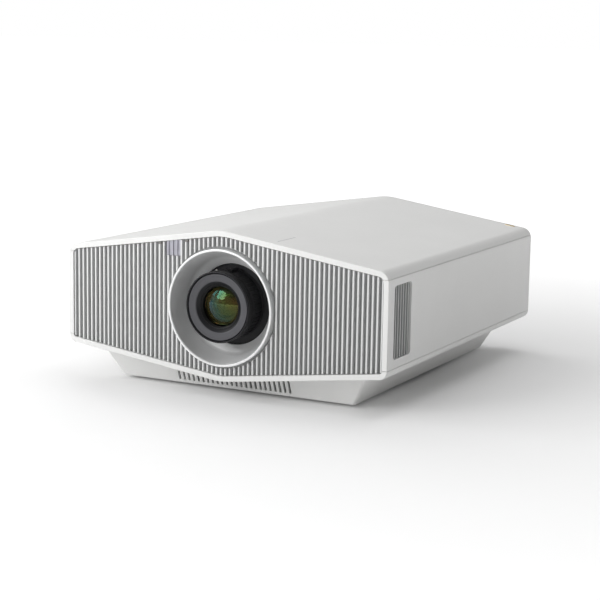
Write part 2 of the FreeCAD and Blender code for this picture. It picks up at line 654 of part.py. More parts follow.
# ---------------------------------------------------------------- lens shift
def shift_plate_side():
    """The plate that carries the lens. It slides along X on two rods."""
    y0, y1 = SHIFT_PLATE_Y, SHIFT_PLATE_Y + SHIFT_PLATE_THICK
    half_height = FLANGE_R
    plate = rounded_box(LENS_X - PLATE_HALF, LENS_X + PLATE_HALF, y0, y1, LENS_Z - half_height,
                        LENS_Z + half_height, 8)
    plate = plate.cut(along_y(BARREL_R + FIT, y0 - 1, y1 + 1, LENS_X, LENS_Z))
    parts = [plate]
    bores = []
    for side in (-1, 1):
        z = LENS_Z + side * RAIL
        low, high = sorted((LENS_Z + side * (half_height - 1), z + side * 6))
        parts.append(box(LENS_X - 24, LENS_X + 24, y0 - 4, y1, low, high))
        bores.append(rod(GUIDE_R + RUN, (LENS_X - 80, y0, z), (LENS_X + 80, y0, z)))
    parts.append(box(LENS_X - 10, LENS_X + 10, y0 - 4, y1, LENS_Z + RAIL + 5, SIDE_SCREW_Z + 5))
    bores.append(rod(SIDE_SCREW_R + RUN, (LENS_X - 80, y0, SIDE_SCREW_Z), (LENS_X + 80, y0, SIDE_SCREW_Z)))
    body = cut(fuse(parts), bores)
    return body.cut(along_y(FLANGE_R + 0.3, y0 - 5, y0, LENS_X, LENS_Z))


def shift_plate_vertical():
    """Carries the rods and the screw of the side plate, and slides along Z on a rod and a screw."""
    y0 = SHIFT_PLATE_Y + SHIFT_PLATE_THICK + 1.0
    y1 = y0 + SHIFT_PLATE_THICK
    plate = rounded_box(LENS_X - PLATE_HALF, LENS_X + PLATE_HALF, y0, y1, LENS_Z - 70, LENS_Z + 77, 6)
    parts = [plate]
    bores = [along_y(BARREL_R + 6.6, y0 - 1, y1 + 1, LENS_X, LENS_Z)]
    for side in (-1, 1):
        x = LENS_X + side * HOLDER_X
        for end in (-1, 1):
            low, high = sorted((LENS_Z + end * (RAIL - 5.5), LENS_Z + end * (RAIL + 4.3)))
            parts.append(box(x - 5, x + 5, SHIFT_PLATE_Y - 4, y0 + 0.5, low, high))
            z = LENS_Z + end * RAIL
            bores.append(rod(GUIDE_R, (x - 20, SHIFT_PLATE_Y, z), (x + 20, SHIFT_PLATE_Y, z)))
        parts.append(box(x - 4, x + 4, SHIFT_PLATE_Y - 4, y0 + 0.5, SIDE_SCREW_Z - 4, SIDE_SCREW_Z + 5))
        bores.append(rod(SIDE_SCREW_R + RUN, (x - 8, SHIFT_PLATE_Y, SIDE_SCREW_Z),
                         (x + 8, SHIFT_PLATE_Y, SIDE_SCREW_Z)))
        post = LENS_X + side * VERTICAL_SCREW_X
        low, high = sorted((LENS_X + side * (PLATE_HALF - 4), post + side * 6))
        parts.append(box(low, high, y0, y1, LENS_Z - 16, LENS_Z + 16))
        bores.append(rod(POST_R + RUN, (post, VERTICAL_AXIS_Y, LENS_Z - 20),
                         (post, VERTICAL_AXIS_Y, LENS_Z + 20)))
    bores.append(rod(SIDE_DIAL_R + 1.5, (LENS_X + 50.6, SHIFT_PLATE_Y, SIDE_SCREW_Z),
                     (LENS_X + 70, SHIFT_PLATE_Y, SIDE_SCREW_Z)))
    return cut(fuse(parts), bores)


def shift_carriage():
    """The vertical plate with the side plate's two guide rods pressed into it."""
    ends = (LENS_X - HOLDER_X - 5, LENS_X + HOLDER_X + 5)
    rods = [rod(GUIDE_R, (ends[0], SHIFT_PLATE_Y, LENS_Z + s * RAIL),
                (ends[1], SHIFT_PLATE_Y, LENS_Z + s * RAIL)) for s in (-1, 1)]
    return group([shift_plate_vertical()] + rods)


def lens_mount():
    """The fixed plate on the engine, with the guide rod and the brackets that hold the vertical screw."""
    y0, y1 = MOUNT_PLATE_Y - 0.6, MOUNT_PLATE_Y + 5.0
    plate = rounded_box(-92, 92, y0, y1, CHASSIS_Z + 2.0, LENS_Z + 66, 6)
    parts = [plate]
    bores = [along_y(52.0, y0 - 1, y1 + 1, 0, BOWL_Z)]
    for side in (-1, 1):
        x = LENS_X + side * VERTICAL_SCREW_X
        clearance = RUN if side > 0 else 0.0
        for z in (LENS_Z - 48, LENS_Z + 48):
            parts.append(box(x - 6, x + 6, SHIFT_PLATE_Y + 4.0, y0 + 0.5, z - 4, z + 4))
            bores.append(rod(POST_R + clearance, (x, VERTICAL_AXIS_Y, z - 6), (x, VERTICAL_AXIS_Y, z + 6)))
    x = LENS_X + VERTICAL_SCREW_X
    bores.append(box(x - DIAL_R - 1.5, 100, y0 - 1, y1 + 1, LENS_Z + 52.1, LENS_Z + 70))
    body = cut(fuse(parts), bores)
    x = LENS_X - VERTICAL_SCREW_X
    guide = rod(POST_R, (x, VERTICAL_AXIS_Y, LENS_Z - 52), (x, VERTICAL_AXIS_Y, LENS_Z + 52))
    return group([body, guide])


def knurled(radius, start, end, count):
    """A dial: a disc with fine hollows round its rim."""
    a, b = V(*start), V(*end)
    axis = (b - a).normalize()
    side = V(0, 1, 0)
    other = axis.cross(side)
    tools = []
    for i in range(count):
        t = 2 * math.pi * i / count
        centre = a + (side * math.cos(t) + other * math.sin(t)) * (radius + 0.6) - axis
        tools.append(Part.makeCylinder(1.1, (b - a).Length + 2, centre, axis))
    return cut(Part.makeCylinder(radius, (b - a).Length, a, axis), tools)


def vertical_dial():
    x, y = LENS_X + VERTICAL_SCREW_X, VERTICAL_AXIS_Y
    screw = rod(POST_R, (x, y, LENS_Z - 52.4), (x, y, LENS_Z + 55))
    collar = rod(3.5, (x, y, LENS_Z - 55.0), (x, y, LENS_Z - 52.4))
    dial = knurled(DIAL_R, (x, y, LENS_Z + 52.4), (x, y, LENS_Z + 58.4), 24)
    return fuse([screw, collar, dial])


def side_dial():
    y, z = SHIFT_PLATE_Y, SIDE_SCREW_Z
    screw = rod(SIDE_SCREW_R, (LENS_X - 52, y, z), (LENS_X + 58, y, z))
    collar = rod(3.4, (LENS_X - 53, y, z), (LENS_X - 50.4, y, z))
    dial = knurled(SIDE_DIAL_R, (LENS_X + 51.5, y, z), (LENS_X + 58, y, z), 20)
    return fuse([screw, collar, dial])


# ---------------------------------------------------------------- inside
def chassis():
    """The steel floor plate, open in front under the lens, on legs from the bottom cover."""
    plate = rounded_box(-210, 210, FRONT_Y + 14, REAR_Y - 14, CHASSIS_Z, CHASSIS_TOP_Z, 12, "z")
    opening = rounded_box(-96, 96, FRONT_Y - 20, MOUNT_PLATE_Y - 1.0, CHASSIS_Z - 5, CHASSIS_Z + 5, 10, "z")
    legs = []
    for x in (-175, 175):
        for y in (-205, 0, 205):
            legs.append(rod(6, (x, y, KEEL_Z), (x, y, CHASSIS_Z + 1)))
    legs = [leg.common(prism(WALL + 0.02, FRONT_Y + 10, REAR_Y - 8)) for leg in legs]
    return fuse([plate.cut(opening)] + legs)


def engine_housing():
    """The cast box that holds the prism and the imaging panels in line behind the lens."""
    y0 = MOUNT_PLATE_Y + 5.05
    y1 = y0 + ENGINE_LENGTH
    outer = rounded_box(-66, 66, y0, y1, 62, 170, 8, "z")
    inner = box(-62, 62, y0 + 4, y1 - 4, 66, 166)
    parts = [outer.cut(inner)]
    for x in (-50, 50):
        for y in (y0 + 16, y1 - 16):
            parts.append(rod(7, (x, y, CHASSIS_TOP_Z + FIT), (x, y, 63)))
    for i in range(7):
        x = -48 + 16 * i
        parts.append(box(x - 1.2, x + 1.2, y0 + 10, y1 - 10, 169, 174))
    parts.append(prism_stand())
    tools = [along_y(49.5, y0 - 1, y0 + 5, 0, BOWL_Z)]
    tools.append(rod(18.2, (-70, RELAY_Y, BOWL_Z), (-58, RELAY_Y, BOWL_Z)))
    return cut(fuse(parts), tools)


def prism_block():
    s = PRISM_SIDE / 2
    return box(-s, s, PRISM_Y - s, PRISM_Y + s, BOWL_Z - s, BOWL_Z + s)


def prism_stand():
    """The table that the prism is bonded to, cast into the housing's floor."""
    s = PRISM_SIDE / 2
    table = box(-s - 6, s + 6, PRISM_Y - s - 6, PRISM_Y + s + 6, BOWL_Z - s - 6, BOWL_Z - s - 0.02)
    post = rod(14, (0, PRISM_Y, 65), (0, PRISM_Y, BOWL_Z - s - 5))
    return fuse([table, post])


def imaging_panels():
    """Three reflective panels on the prism, each with its small finned cooler: right, rear and top."""
    s = PRISM_SIDE / 2
    chip = box(-11, 11, PRISM_Y + s + 0.5, PRISM_Y + s + 3.5, BOWL_Z - 8, BOWL_Z + 8)
    carrier = box(-16, 16, PRISM_Y + s + 3.5, PRISM_Y + s + 6.5, BOWL_Z - 14, BOWL_Z + 14)
    fins = [box(-15 + 6 * i, -13.4 + 6 * i, PRISM_Y + s + 6.0, PRISM_Y + s + 15, BOWL_Z - 13, BOWL_Z + 13)
            for i in range(6)]
    rear = fuse([chip, carrier] + fins)
    right = rear.copy()
    right.rotate(V(0, PRISM_Y, BOWL_Z), V(0, 0, 1), -90)
    top = rear.copy()
    top.rotate(V(0, PRISM_Y, BOWL_Z), V(1, 0, 0), 90)
    return group([rear, right, top])


def relay_tube():
    tube = rod(18, (-94, RELAY_Y, BOWL_Z), (-58.5, RELAY_Y, BOWL_Z))
    tube = tube.cut(rod(15, (-95, RELAY_Y, BOWL_Z), (-58, RELAY_Y, BOWL_Z)))
    flange = rod(24, (-69.0, RELAY_Y, BOWL_Z), (-66.1, RELAY_Y, BOWL_Z))
    flange = flange.cut(rod(17, (-70, RELAY_Y, BOWL_Z), (-60, RELAY_Y, BOWL_Z)))
    return fuse([tube, flange])


def phosphor_wheel():
    disc = rod(WHEEL_R, (-98.4, WHEEL_Y, BOWL_Z), (-97.0, WHEEL_Y, BOWL_Z))
    hub = rod(10, (-99.6, WHEEL_Y, BOWL_Z), (-95.6, WHEEL_Y, BOWL_Z))
    return fuse([disc, hub]).cut(rod(2.05, (-110, WHEEL_Y, BOWL_Z), (-90, WHEEL_Y, BOWL_Z)))


def phosphor_motor():
    body = rod(13, (-94.0, WHEEL_Y, BOWL_Z), (-76, WHEEL_Y, BOWL_Z))
    shaft = rod(2.0, (-100.4, WHEEL_Y, BOWL_Z), (-90, WHEEL_Y, BOWL_Z))
    foot = box(-90, -80, WHEEL_Y - 10, WHEEL_Y + 10, CHASSIS_TOP_Z + FIT, BOWL_Z - 6)
    return fuse([body, shaft, foot])


def laser_module():
    """The sealed block with the laser diodes, and its window towards the phosphor wheel."""
    x0, x1, y0, y1, z0, z1 = LASER
    body = rounded_box(x0, x1, y0, y1, z0, z1, 5, "z")
    parts = [body]
    for x in (x0 + 12, x1 - 12):
        for y in (y0 + 12, y1 - 12):
            parts.append(rod(5, (x, y, CHASSIS_TOP_Z + FIT), (x, y, z0 + 1)))
    window = rod(16, (x1 - 2, RELAY_Y, BOWL_Z), (x1 + 1, RELAY_Y, BOWL_Z))
    pipes = [rod(HEAT_PIPE_R + 0.05, (x, y1 - 20, z), (x, y1 + 1, z)) for x, z in heat_pipe_places()]
    return cut(fuse(parts), [window] + pipes)


def heat_pipe_places():
    return [(x, z) for x in (-168.0, -145.0, -122.0) for z in (92.0, 130.0)]


def heat_pipes():
    y0, y1 = LASER[3] - 19.5, HEAT_SINK_Y[1] + 4
    return group([rod(HEAT_PIPE_R, (x, y0, z), (x, y1, z)) for x, z in heat_pipe_places()])


def heat_sink():
    """A stack of thin fins on the heat pipes, joined by two side strips."""
    y0, y1 = HEAT_SINK_Y
    x0, x1, z0, z1 = LASER[0], LASER[1], LASER[4] + 2.0, LASER[5] - 4.0
    pitch = (y1 - y0 - FIN_THICK) / (FIN_COUNT - 1)
    fins = [box(x0, x1, y0 + pitch * i, y0 + pitch * i + FIN_THICK, z0, z1) for i in range(FIN_COUNT)]
    strips = [box(x0 - 2.0, x0 + 0.5, y0, y1, z0, z1), box(x1 - 0.5, x1 + 2.0, y0, y1, z0, z1)]
    holes = [rod(HEAT_PIPE_R + 0.05, (x, y0 - 1, z), (x, y1 + 1, z)) for x, z in heat_pipe_places()]
    return cut(fuse(fins + strips), holes)


def fan_frame():
    """The right fan's square frame, with its motor mount on four struts and two brackets to the chassis."""
    s = FAN_SIDE / 2
    x0, x1 = FAN_X
    frame = rounded_box(x0, x1, FAN_Y - s, FAN_Y + s, FAN_Z - s, FAN_Z + s, 5, "x")
    frame = frame.cut(rod(38.0, (x0 - 1, FAN_Y, FAN_Z), (x1 + 1, FAN_Y, FAN_Z)))
    parts = [frame, rod(15, (x0, FAN_Y, FAN_Z), (x0 + 2.5, FAN_Y, FAN_Z))]
    for i in range(4):
        strut = box(x0, x0 + 2.5, FAN_Y - 1.6, FAN_Y + 1.6, FAN_Z + 12, FAN_Z + 39)
        strut.rotate(V(x0, FAN_Y, FAN_Z), V(1, 0, 0), 45 + 90 * i)
        parts.append(strut)
    parts.append(rod(2.0, (x0 + 1, FAN_Y, FAN_Z), (x1 - 3, FAN_Y, FAN_Z)))
    for y in (FAN_Y - 30, FAN_Y + 30):
        parts.append(box(x0 + 4, x0 + 14, y - 6, y + 6, CHASSIS_TOP_Z + FIT, FAN_Z - s + 1))
    corners = []
    for a in (-35.5, 35.5):
        for b in (-35.5, 35.5):
            corners.append(rod(2.2, (x0 - 1, FAN_Y + a, FAN_Z + b), (x1 + 1, FAN_Y + a, FAN_Z + b)))
    return cut(fuse(parts), corners)


def fan_rotor():
    x0, x1 = FAN_X[0] + 4.0, FAN_X[1] - 1.5
    hub = rod(17, (x0, FAN_Y, FAN_Z), (x1, FAN_Y, FAN_Z))
    parts = [hub]
    half_chord = 9.0
    dx, dy = half_chord * math.cos(FAN_BLADE_ANGLE), half_chord * math.sin(FAN_BLADE_ANGLE)
    middle = (x0 + x1) / 2
    for i in range(FAN_BLADES):
        corners = [(middle - dx, -dy - 0.8), (middle + dx, dy - 0.8)]
        corners += [(middle + dx, dy + 0.8), (middle - dx, -dy + 0.8)]
        wire = Part.makePolygon([V(x, FAN_Y + y, FAN_Z + 15) for x, y in corners + corners[:1]])
        blade = Part.Face(wire).extrude(V(0, 0, 21.4))
        blade.rotate(V(0, FAN_Y, FAN_Z), V(1, 0, 0), 360.0 * i / FAN_BLADES)
        parts.append(blade)
    body = fuse(parts).common(rod(36.8, (x0, FAN_Y, FAN_Z), (x1, FAN_Y, FAN_Z)))
    return body.cut(rod(2.05, (x0 - 1, FAN_Y, FAN_Z), (x1 - 1.4, FAN_Y, FAN_Z)))


def standoffs(places):
    return [rod(4, (x, y, CHASSIS_TOP_Z + FIT), (x, y, BOARD_Z + 0.5)) for x, y in places]


def main_board():
    """The signal board in the rear left, on stand-offs, with its processors under coolers."""
    x0, x1, y0, y1 = -196.0, 56.0, 120.0, 232.0
    board = box(x0, x1, y0, y1, BOARD_Z, BOARD_Z + BOARD_THICK)
    top = BOARD_Z + BOARD_THICK - 0.1
    parts = [board]
    for x, y, w, d, h in ((-96, 176, 34, 34, 14), (-40, 180, 26, 26, 10), (10, 176, 20, 20, 8)):
        parts.append(box(x - w / 2, x + w / 2, y - d / 2, y + d / 2, top, top + 3))
        fins = int(w / 4)
        for i in range(fins):
            fx = x - w / 2 + 4 * i
            parts.append(box(fx, fx + 1.4, y - d / 2, y + d / 2, top + 2.9, top + h))
    for i in range(6):
        x = -170 + 18 * i
        parts.append(box(x, x + 12, 138, 148, top, top + 1.4))
    for i in range(8):
        x = -60 + 13 * i
        parts.append(rod(3.2, (x, 146, top), (x, 146, top + 8)))
    parts += standoffs([(x0 + 10, y0 + 10), (x1 - 10, y0 + 10), (x0 + 10, y1 - 14), (x1 - 10, y1 - 14)])
    return fuse(parts)


def power_board():
    """The power supply on the right: transformer, coil, capacitors and two rows of cooled transistors."""
    x0, x1, y0, y1 = 84.0, 206.0, 20.0, 214.0
    board = box(x0, x1, y0, y1, BOARD_Z, BOARD_Z + BOARD_THICK)
    top = BOARD_Z + BOARD_THICK - 0.1
    parts = [board]
    parts.append(rounded_box(100, 142, 52, 96, top, top + 34, 3, "z"))
    parts.append(rounded_box(154, 188, 60, 92, top, top + 26, 3, "z"))
    for x in (104, 136):
        parts.append(rod(13, (x + 2, 126, top), (x + 2, 126, top + 40)))
    parts.append(box(98, 192, 30, 34, top, top + 38))
    parts.append(box(160, 164, 112, 176, top, top + 38))
    for i in range(5):
        parts.append(box(102 + 18 * i, 112 + 18 * i, 34, 38.5, top + 8, top + 24))
    for i in range(4):
        parts.append(rod(5, (180, 118 + 14 * i, top), (180, 118 + 14 * i, top + 20)))
    parts.append(rounded_box(100, 134, 156, 186, top, top + 24, 3, "z"))
    parts += standoffs([(x0 + 8, y0 + 6), (x1 - 8, y0 + 6), (x0 + 8, y1 - 8), (x1 - 8, y1 - 8)])
    return fuse(parts)


# ---------------------------------------------------------------- rear terminals
def terminal_places():
    """The sockets' cut-outs in the terminal plate: kind, middle x, middle z, width, height."""
    return [
        ("network", -144.1, 87.0, 16.0, 14.0),
        ("hdmi", -108.0, 86.0, 16.0, 7.0),
        ("hdmi", -80.0, 86.0, 16.0, 7.0),
        ("usb", -54.0, 86.0, 14.0, 7.0),
        ("serial", -20.0, 90.0, 31.0, 13.0),
        ("jack", 6.0, 98.0, 9.0, 9.0),
        ("jack", 6.0, 82.0, 9.0, 9.0),
    ]


def terminal_plate():
    x0, x1, z0, z1 = TERMINALS
    plate = box(x0 - 6, x1 + 6, PLATE_Y - 1.5, PLATE_Y, z0 - 4, z1 + 6)
    tools = [rounded_box(x - w / 2, x + w / 2, PLATE_Y - 3, PLATE_Y + 1, z - h / 2, z + h / 2, 0.6)
             for _, x, z, w, h in terminal_places()]
    return cut(plate, tools)


def socket(kind, x, z, w, h):
    """One socket behind its cut-out: a shell with a hollow, and the contacts or tongue in it."""
    w, h = w - 0.4, h - 0.4
    y0, y1 = PLATE_Y - SOCKET_DEPTH, PLATE_Y + 0.6
    shell = box(x - w / 2, x + w / 2, y0, y1, z - h / 2, z + h / 2)
    if kind == "network":
        return shell.cut(box(x - 5.9, x + 5.9, y1 - 13, y1 + 1, z - 5.2, z + 3.2))
    if kind == "jack":
        return along_y(4.2, y0, y1, x, z).cut(along_y(1.8, y1 - 13, y1 + 1, x, z))
    if kind == "serial":
        body = shell.cut(box(x - 9.0, x + 9.0, y1 - 6, y1 + 1, z - 4.6, z + 4.6))
        pins = [along_y(0.5, y1 - 6.5, y1 - 0.6, x - 5.6 + 2.8 * i, z + 1.5) for i in range(5)]
        pins += [along_y(0.5, y1 - 6.5, y1 - 0.6, x - 4.2 + 2.8 * i, z - 1.5) for i in range(4)]
        return fuse([body] + pins)
    hollow = box(x - w / 2 + 0.7, x + w / 2 - 0.7, y1 - 11, y1 + 1, z - h / 2 + 0.8, z + h / 2 - 0.8)
    tongue = box(x - w / 2 + 2, x + w / 2 - 2, y1 - 11.5, y1 - 1.2, z + 0.1, z + 1.5)
    return fuse([shell.cut(hollow), tongue])


def network_socket():
    return socket(*[place for place in terminal_places() if place[0] == "network"][0])


def signal_sockets():
    return group([socket(*place) for place in terminal_places() if place[0] != "network"])


def mains_inlet():
    """A three-pin appliance inlet, screwed in from inside."""
    x0, x1, z0, z1 = MAINS
    x, z = (x0 + x1) / 2, (z0 + z1) / 2
    flange = box(x0 - 4, x1 + 4, PLATE_Y - 2.5, PLATE_Y, z0 - 4, z1 + 4)
    nose = rounded_box(x0 + 0.4, x1 - 0.4, PLATE_Y - 1, REAR_Y - 1.2, z0 + 0.4, z1 - 0.4, 2.5)
    body = box(x - 14.2, x + 14.2, PLATE_Y - 20, PLATE_Y - 1, z - 10.2, z + 10.2)
    well = rounded_box(x - 12.3, x + 12.3, PLATE_Y - 12, REAR_Y, z - 8.2, z + 8.2, 3)
    pins = []
    for px, pz in ((-7, -2), (7, -2), (0, 2.4)):
        pins.append(box(x + px - 1, x + px + 1, PLATE_Y - 13, REAR_Y - 6.6, z + pz - 2.4, z + pz + 2.4))
    return fuse([fuse([flange, nose, body]).cut(well)] + pins)


# ---------------------------------------------------------------- control panel
def keys():
    """The panel's keys: name, middle x, middle z, half width, half height."""
    x0, x1, z0, z1 = CONTROLS
    zm = (z0 + z1) / 2
    cross_x = x0 + 27.0
    return {
        "power_button": (x1 - 14.0, zm + 8.0, 5.0, 5.0),
        "input_button": (x1 - 24.0, zm - 10.0, 5.0, 3.0),
        "menu_button": (x1 - 10.2, zm - 10.0, 5.0, 3.0),
        "enter_button": (cross_x, zm, 4.6, 4.6),
        "up_button": (cross_x, zm + 11.0, 4.6, 3.2),
        "down_button": (cross_x, zm - 11.0, 4.6, 3.2),
        "left_button": (cross_x + 12.5, zm, 3.2, 4.6),
        "right_button": (cross_x - 12.5, zm, 3.2, 4.6),
    }


def key_body(x, z, w, h, y0, y1, grow):
    if w == h:
        return along_y(w + grow, y0, y1, x, z)
    radius = min(w, h) * 0.6
    return rounded_box(x - w - grow, x + w + grow, y0, y1, z - h - grow, z + h + grow, radius)


def control_panel():
    x0, x1, z0, z1 = CONTROLS
    plate = rounded_box(x0 + 0.3, x1 - 0.3, PANEL_FACE - PANEL_THICK, PANEL_FACE, z0 + 0.3, z1 - 0.3, 2.7)
    back = PLATE_Y - 0.05
    frame = box(x0 - 4, x1 + 4, back - 1.6, back, z0 - 4, z1 + 4)
    frame = frame.cut(box(x0 + 3, x1 - 3, back - 3, back + 1, z0 + 3, z1 - 3))
    walls = rounded_box(x0 + 0.3, x1 - 0.3, back - 1.0, PANEL_FACE - 1, z0 + 0.3, z1 - 0.3, 2.7)
    walls = walls.cut(box(x0 + 3, x1 - 3, back - 3, PANEL_FACE, z0 + 3, z1 - 3))
    board = box(x0 - 4, x1 + 4, back - 5.2, back - 3.6, z0 - 4, z1 + 4)
    posts = [along_y(2.0, back - 4, back - 1, x, z) for x in (x0 - 1, x1 + 1) for z in (z0 - 1, z1 + 1)]
    body = fuse([plate, frame, walls, board] + posts)
    holes = [key_body(*k, PANEL_FACE - 6, PANEL_FACE + 1, 0.25) for k in keys().values()]
    body = cut(body, holes)
    sensor = along_y(1.5, PANEL_FACE - 6, PANEL_FACE + 1, x1 - 26.0, (z0 + z1) / 2 + 8.0)
    return body.cut(sensor)


def status_lamp():
    x, z = CONTROLS[1] - 26.0, (CONTROLS[2] + CONTROLS[3]) / 2 + 8.0
    return along_y(1.45, PANEL_FACE - 4, PANEL_FACE + 0.1, x, z)


def key(x, z, w, h):
    cap = key_body(x, z, w, h, PANEL_FACE - PANEL_THICK - 1.2, PANEL_FACE + 0.9, 0.0)
    cap = soften(cap, 0.5, lambda e: e.BoundBox.YMin > PANEL_FACE + 0.8)
    skirt = key_body(x, z, w, h, PANEL_FACE - PANEL_THICK - 1.4, PANEL_FACE - PANEL_THICK - 0.06, 0.9)
    return fuse([cap, skirt])


# ---------------------------------------------------------------- writing the parts
def all_parts():
    shell = case_shell()
    left, right = side_panels(shell)
    vent = side_vent()
    frame = fan_frame()
    rotor = fan_rotor()
    parts = {
        "top_cover": top_cover(shell),
        "bottom_cover": bottom_cover(shell),
        "side_panel_left": left,
        "side_panel_right": right,
        "side_vent_right": vent,
        "side_vent_left": mirror_x(vent),
        "front_grille": front_grille(),
        "ir_window": ir_window(),
        "rear_cover": rear_cover(),
        "case_screws": case_screws(),
        "pedestal": pedestal(),
        "intake_filter": intake_filter(),
        "rear_feet": rear_feet(),
        "lens_trim_ring": lens_trim_ring(),
        "focus_ring": focus_ring(),
        "zoom_ring": zoom_ring(),
        "lens_barrel": lens_barrel(),
        "front_lens_cell": front_lens_cell(),
        "front_lens": front_lens(),
        "zoom_cell": zoom_cell(),
        "zoom_lens": zoom_lens(),
        "rear_lens": rear_lens(),
        "shift_plate_side": shift_plate_side(),
        "shift_plate_vertical": shift_carriage(),
        "lens_mount": lens_mount(),
        "vertical_shift_dial": vertical_dial(),
        "side_shift_dial": side_dial(),
        "chassis": chassis(),
        "engine_housing": engine_housing(),
        "prism_block": prism_block(),
        "imaging_panels": imaging_panels(),
        "relay_tube": relay_tube(),
        "phosphor_wheel": phosphor_wheel(),
        "phosphor_motor": phosphor_motor(),
        "laser_module": laser_module(),
        "heat_pipes": heat_pipes(),
        "heat_sink": heat_sink(),
        "fan_frames": group([frame, mirror_x(frame)]),
        "fan_rotor_right": rotor,
        "fan_rotor_left": mirror_x(rotor),
        "main_board": main_board(),
        "power_board": power_board(),
        "terminal_plate": terminal_plate(),
        "network_socket": network_socket(),
        "signal_sockets": signal_sockets(),
        "mains_inlet": mains_inlet(),
        "control_panel": control_panel(),
        "status_lamp": status_lamp(),
    }
    for name, place in zip(("left", "right"), FRONT_FEET):
        parts["foot_pad_" + name] = foot_pad(*place)
        parts["foot_screw_" + name] = foot_screw(*place)
    for name, place in keys().items():
        parts[name] = key(*place)
    return parts


os.makedirs("parts", exist_ok=True)
for node, shape in all_parts().items():
    if not shape.isValid():
        print("not valid:", node)
    shape.exportStep("parts/" + node + ".step")
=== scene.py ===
"""Looks for the home-cinema projector: materials for every CAD piece, fine detail, camera and studio."""
import json
import math

import bmesh
import bpy
from mathutils import Matrix, Vector


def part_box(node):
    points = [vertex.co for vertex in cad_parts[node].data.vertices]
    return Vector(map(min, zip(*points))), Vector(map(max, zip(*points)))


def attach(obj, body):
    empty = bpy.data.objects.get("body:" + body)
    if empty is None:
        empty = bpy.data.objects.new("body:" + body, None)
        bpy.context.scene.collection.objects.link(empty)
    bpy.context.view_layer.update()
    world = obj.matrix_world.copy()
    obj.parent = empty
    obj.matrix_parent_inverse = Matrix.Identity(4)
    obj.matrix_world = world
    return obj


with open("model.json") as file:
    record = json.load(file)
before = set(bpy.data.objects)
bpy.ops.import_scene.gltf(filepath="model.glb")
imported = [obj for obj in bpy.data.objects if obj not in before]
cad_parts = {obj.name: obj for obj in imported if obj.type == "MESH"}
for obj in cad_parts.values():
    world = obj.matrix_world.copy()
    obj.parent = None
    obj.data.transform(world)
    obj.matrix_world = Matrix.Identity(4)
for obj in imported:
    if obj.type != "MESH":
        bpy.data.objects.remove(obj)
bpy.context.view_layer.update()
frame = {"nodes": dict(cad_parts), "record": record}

MM = 0.001
nodes = frame["nodes"]


# ---------------------------------------------------------------- places, from the frame
def middle(node):
    low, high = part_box(node)
    return (low + high) / 2


LENS = Vector((middle("focus_ring").x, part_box("focus_ring")[0].y, middle("focus_ring").z))
FRONT_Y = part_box("top_cover")[0].y
HALF_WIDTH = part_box("top_cover")[1].x
RIDGE_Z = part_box("top_cover")[1].z
RIDGE_ROUNDING = 0.95 * MM           # height that the ridge's rounding takes off
ROOF_SLOPE = 34.5 / 230              # fall of the roof for each unit away from the ridge
SHARP_ANGLE = math.radians(32)       # edges sharper than this stay hard

RIB_PITCH = 6.51 * MM
CLIP_RIBS = (-14, -8)                # ribs that stop short for the window's clips, counted from the middle

KNURL_R = 45.3 * MM
KNURL_RIDGES = 110
KNURL_HEIGHT = 0.14 * MM

# behind the front glass: name, outer radius, width, place behind the first, in millimetres, and look
RETAINERS = [
    ("retainer_front", 24.2, 3.4, 0.0, "retainer_grey"),
    ("retainer_second", 20.4, 2.6, 3.0, "lens_black"),
    ("retainer_third", 17.4, 2.2, 5.0, "retainer_grey"),
    ("retainer_fourth", 14.8, 2.0, 8.0, "lens_black"),
]
RETAINER_DEPTH = 2.0 * MM
SECOND_ELEMENT_R = 14.0 * MM
SECOND_ELEMENT_RISE = 3.2 * MM       # how far the middle of its face stands before the rim
SECOND_ELEMENT_BACK = 9.0 * MM       # its rim, behind the first retainer
ELEMENT_THICK = 2.0 * MM             # rim to flat back

# on the roof, in millimetres: from and to in x, in y and above the surface, then the bevel
BADGE = (194, 208, 237, 243, -0.6, 0.45, 0.3)
MARK = (70.5, 71.5, -233, -186, -0.3, 0.06, 0.0)

SCREW = Vector((-27.7, -211.9, 156.4)) * MM

CAMERA_AZIMUTH = math.radians(27.25)
CAMERA_ELEVATION = math.radians(9.77)
CAMERA_ROLL = math.radians(0.97)
CAMERA_AIM = Vector((-17.56, 1.63, 88.03)) * MM
CAMERA_DISTANCE = 2.25245
CAMERA_FOCAL = 96.89                 # with a sensor 36 wide

# area lamps: name, place, what it points at, size in metres, watts
LAMPS = [
    ("key", (-1.3, -0.7, 0.95), (0, 0, 0.1), (0.9, 0.9), 7),
    ("front_left", (-1.0, -2.1, 1.1), (0, -0.25, 0.1), (1.2, 1.0), 23),
    ("above", (0.3, 0.2, 2.0), (0, 0, 0.1), (1.6, 1.6), 15),
    ("above_left", (-1.0, 0.6, 1.5), (0, 0, 0.1), (1.2, 1.2), 6),
    ("behind_right", (1.5, 1.0, 0.7), (0, 0, 0.1), (1.2, 0.8), 2),
    ("low_left", (-1.2, -1.3, 0.3), (0, 0, 0.1), (0.9, 0.4), 0.8),
]
SKY_TOWARDS = (-0.72, -0.22, 0.66)   # where the surround is brightest
SKY_RANGE = (-0.4, 0.9)              # from darkest to brightest, as a dot product with that direction
SKY_STRENGTH = (0.0, 0.4)            # what those two give

FLOOR_HALF = 30.0
FLOOR_GLOW_FROM, FLOOR_GLOW_TO = 150.0, 3000.0    # distance from the middle, in millimetres
# the floor's own light at those distances: none at the foot, so a painted shadow pool lies round the
# projector, rising to near white far off
FLOOR_GLOW = [(0.0, 0.0), (0.08, 0.12), (0.26, 0.36), (0.6, 0.95)]


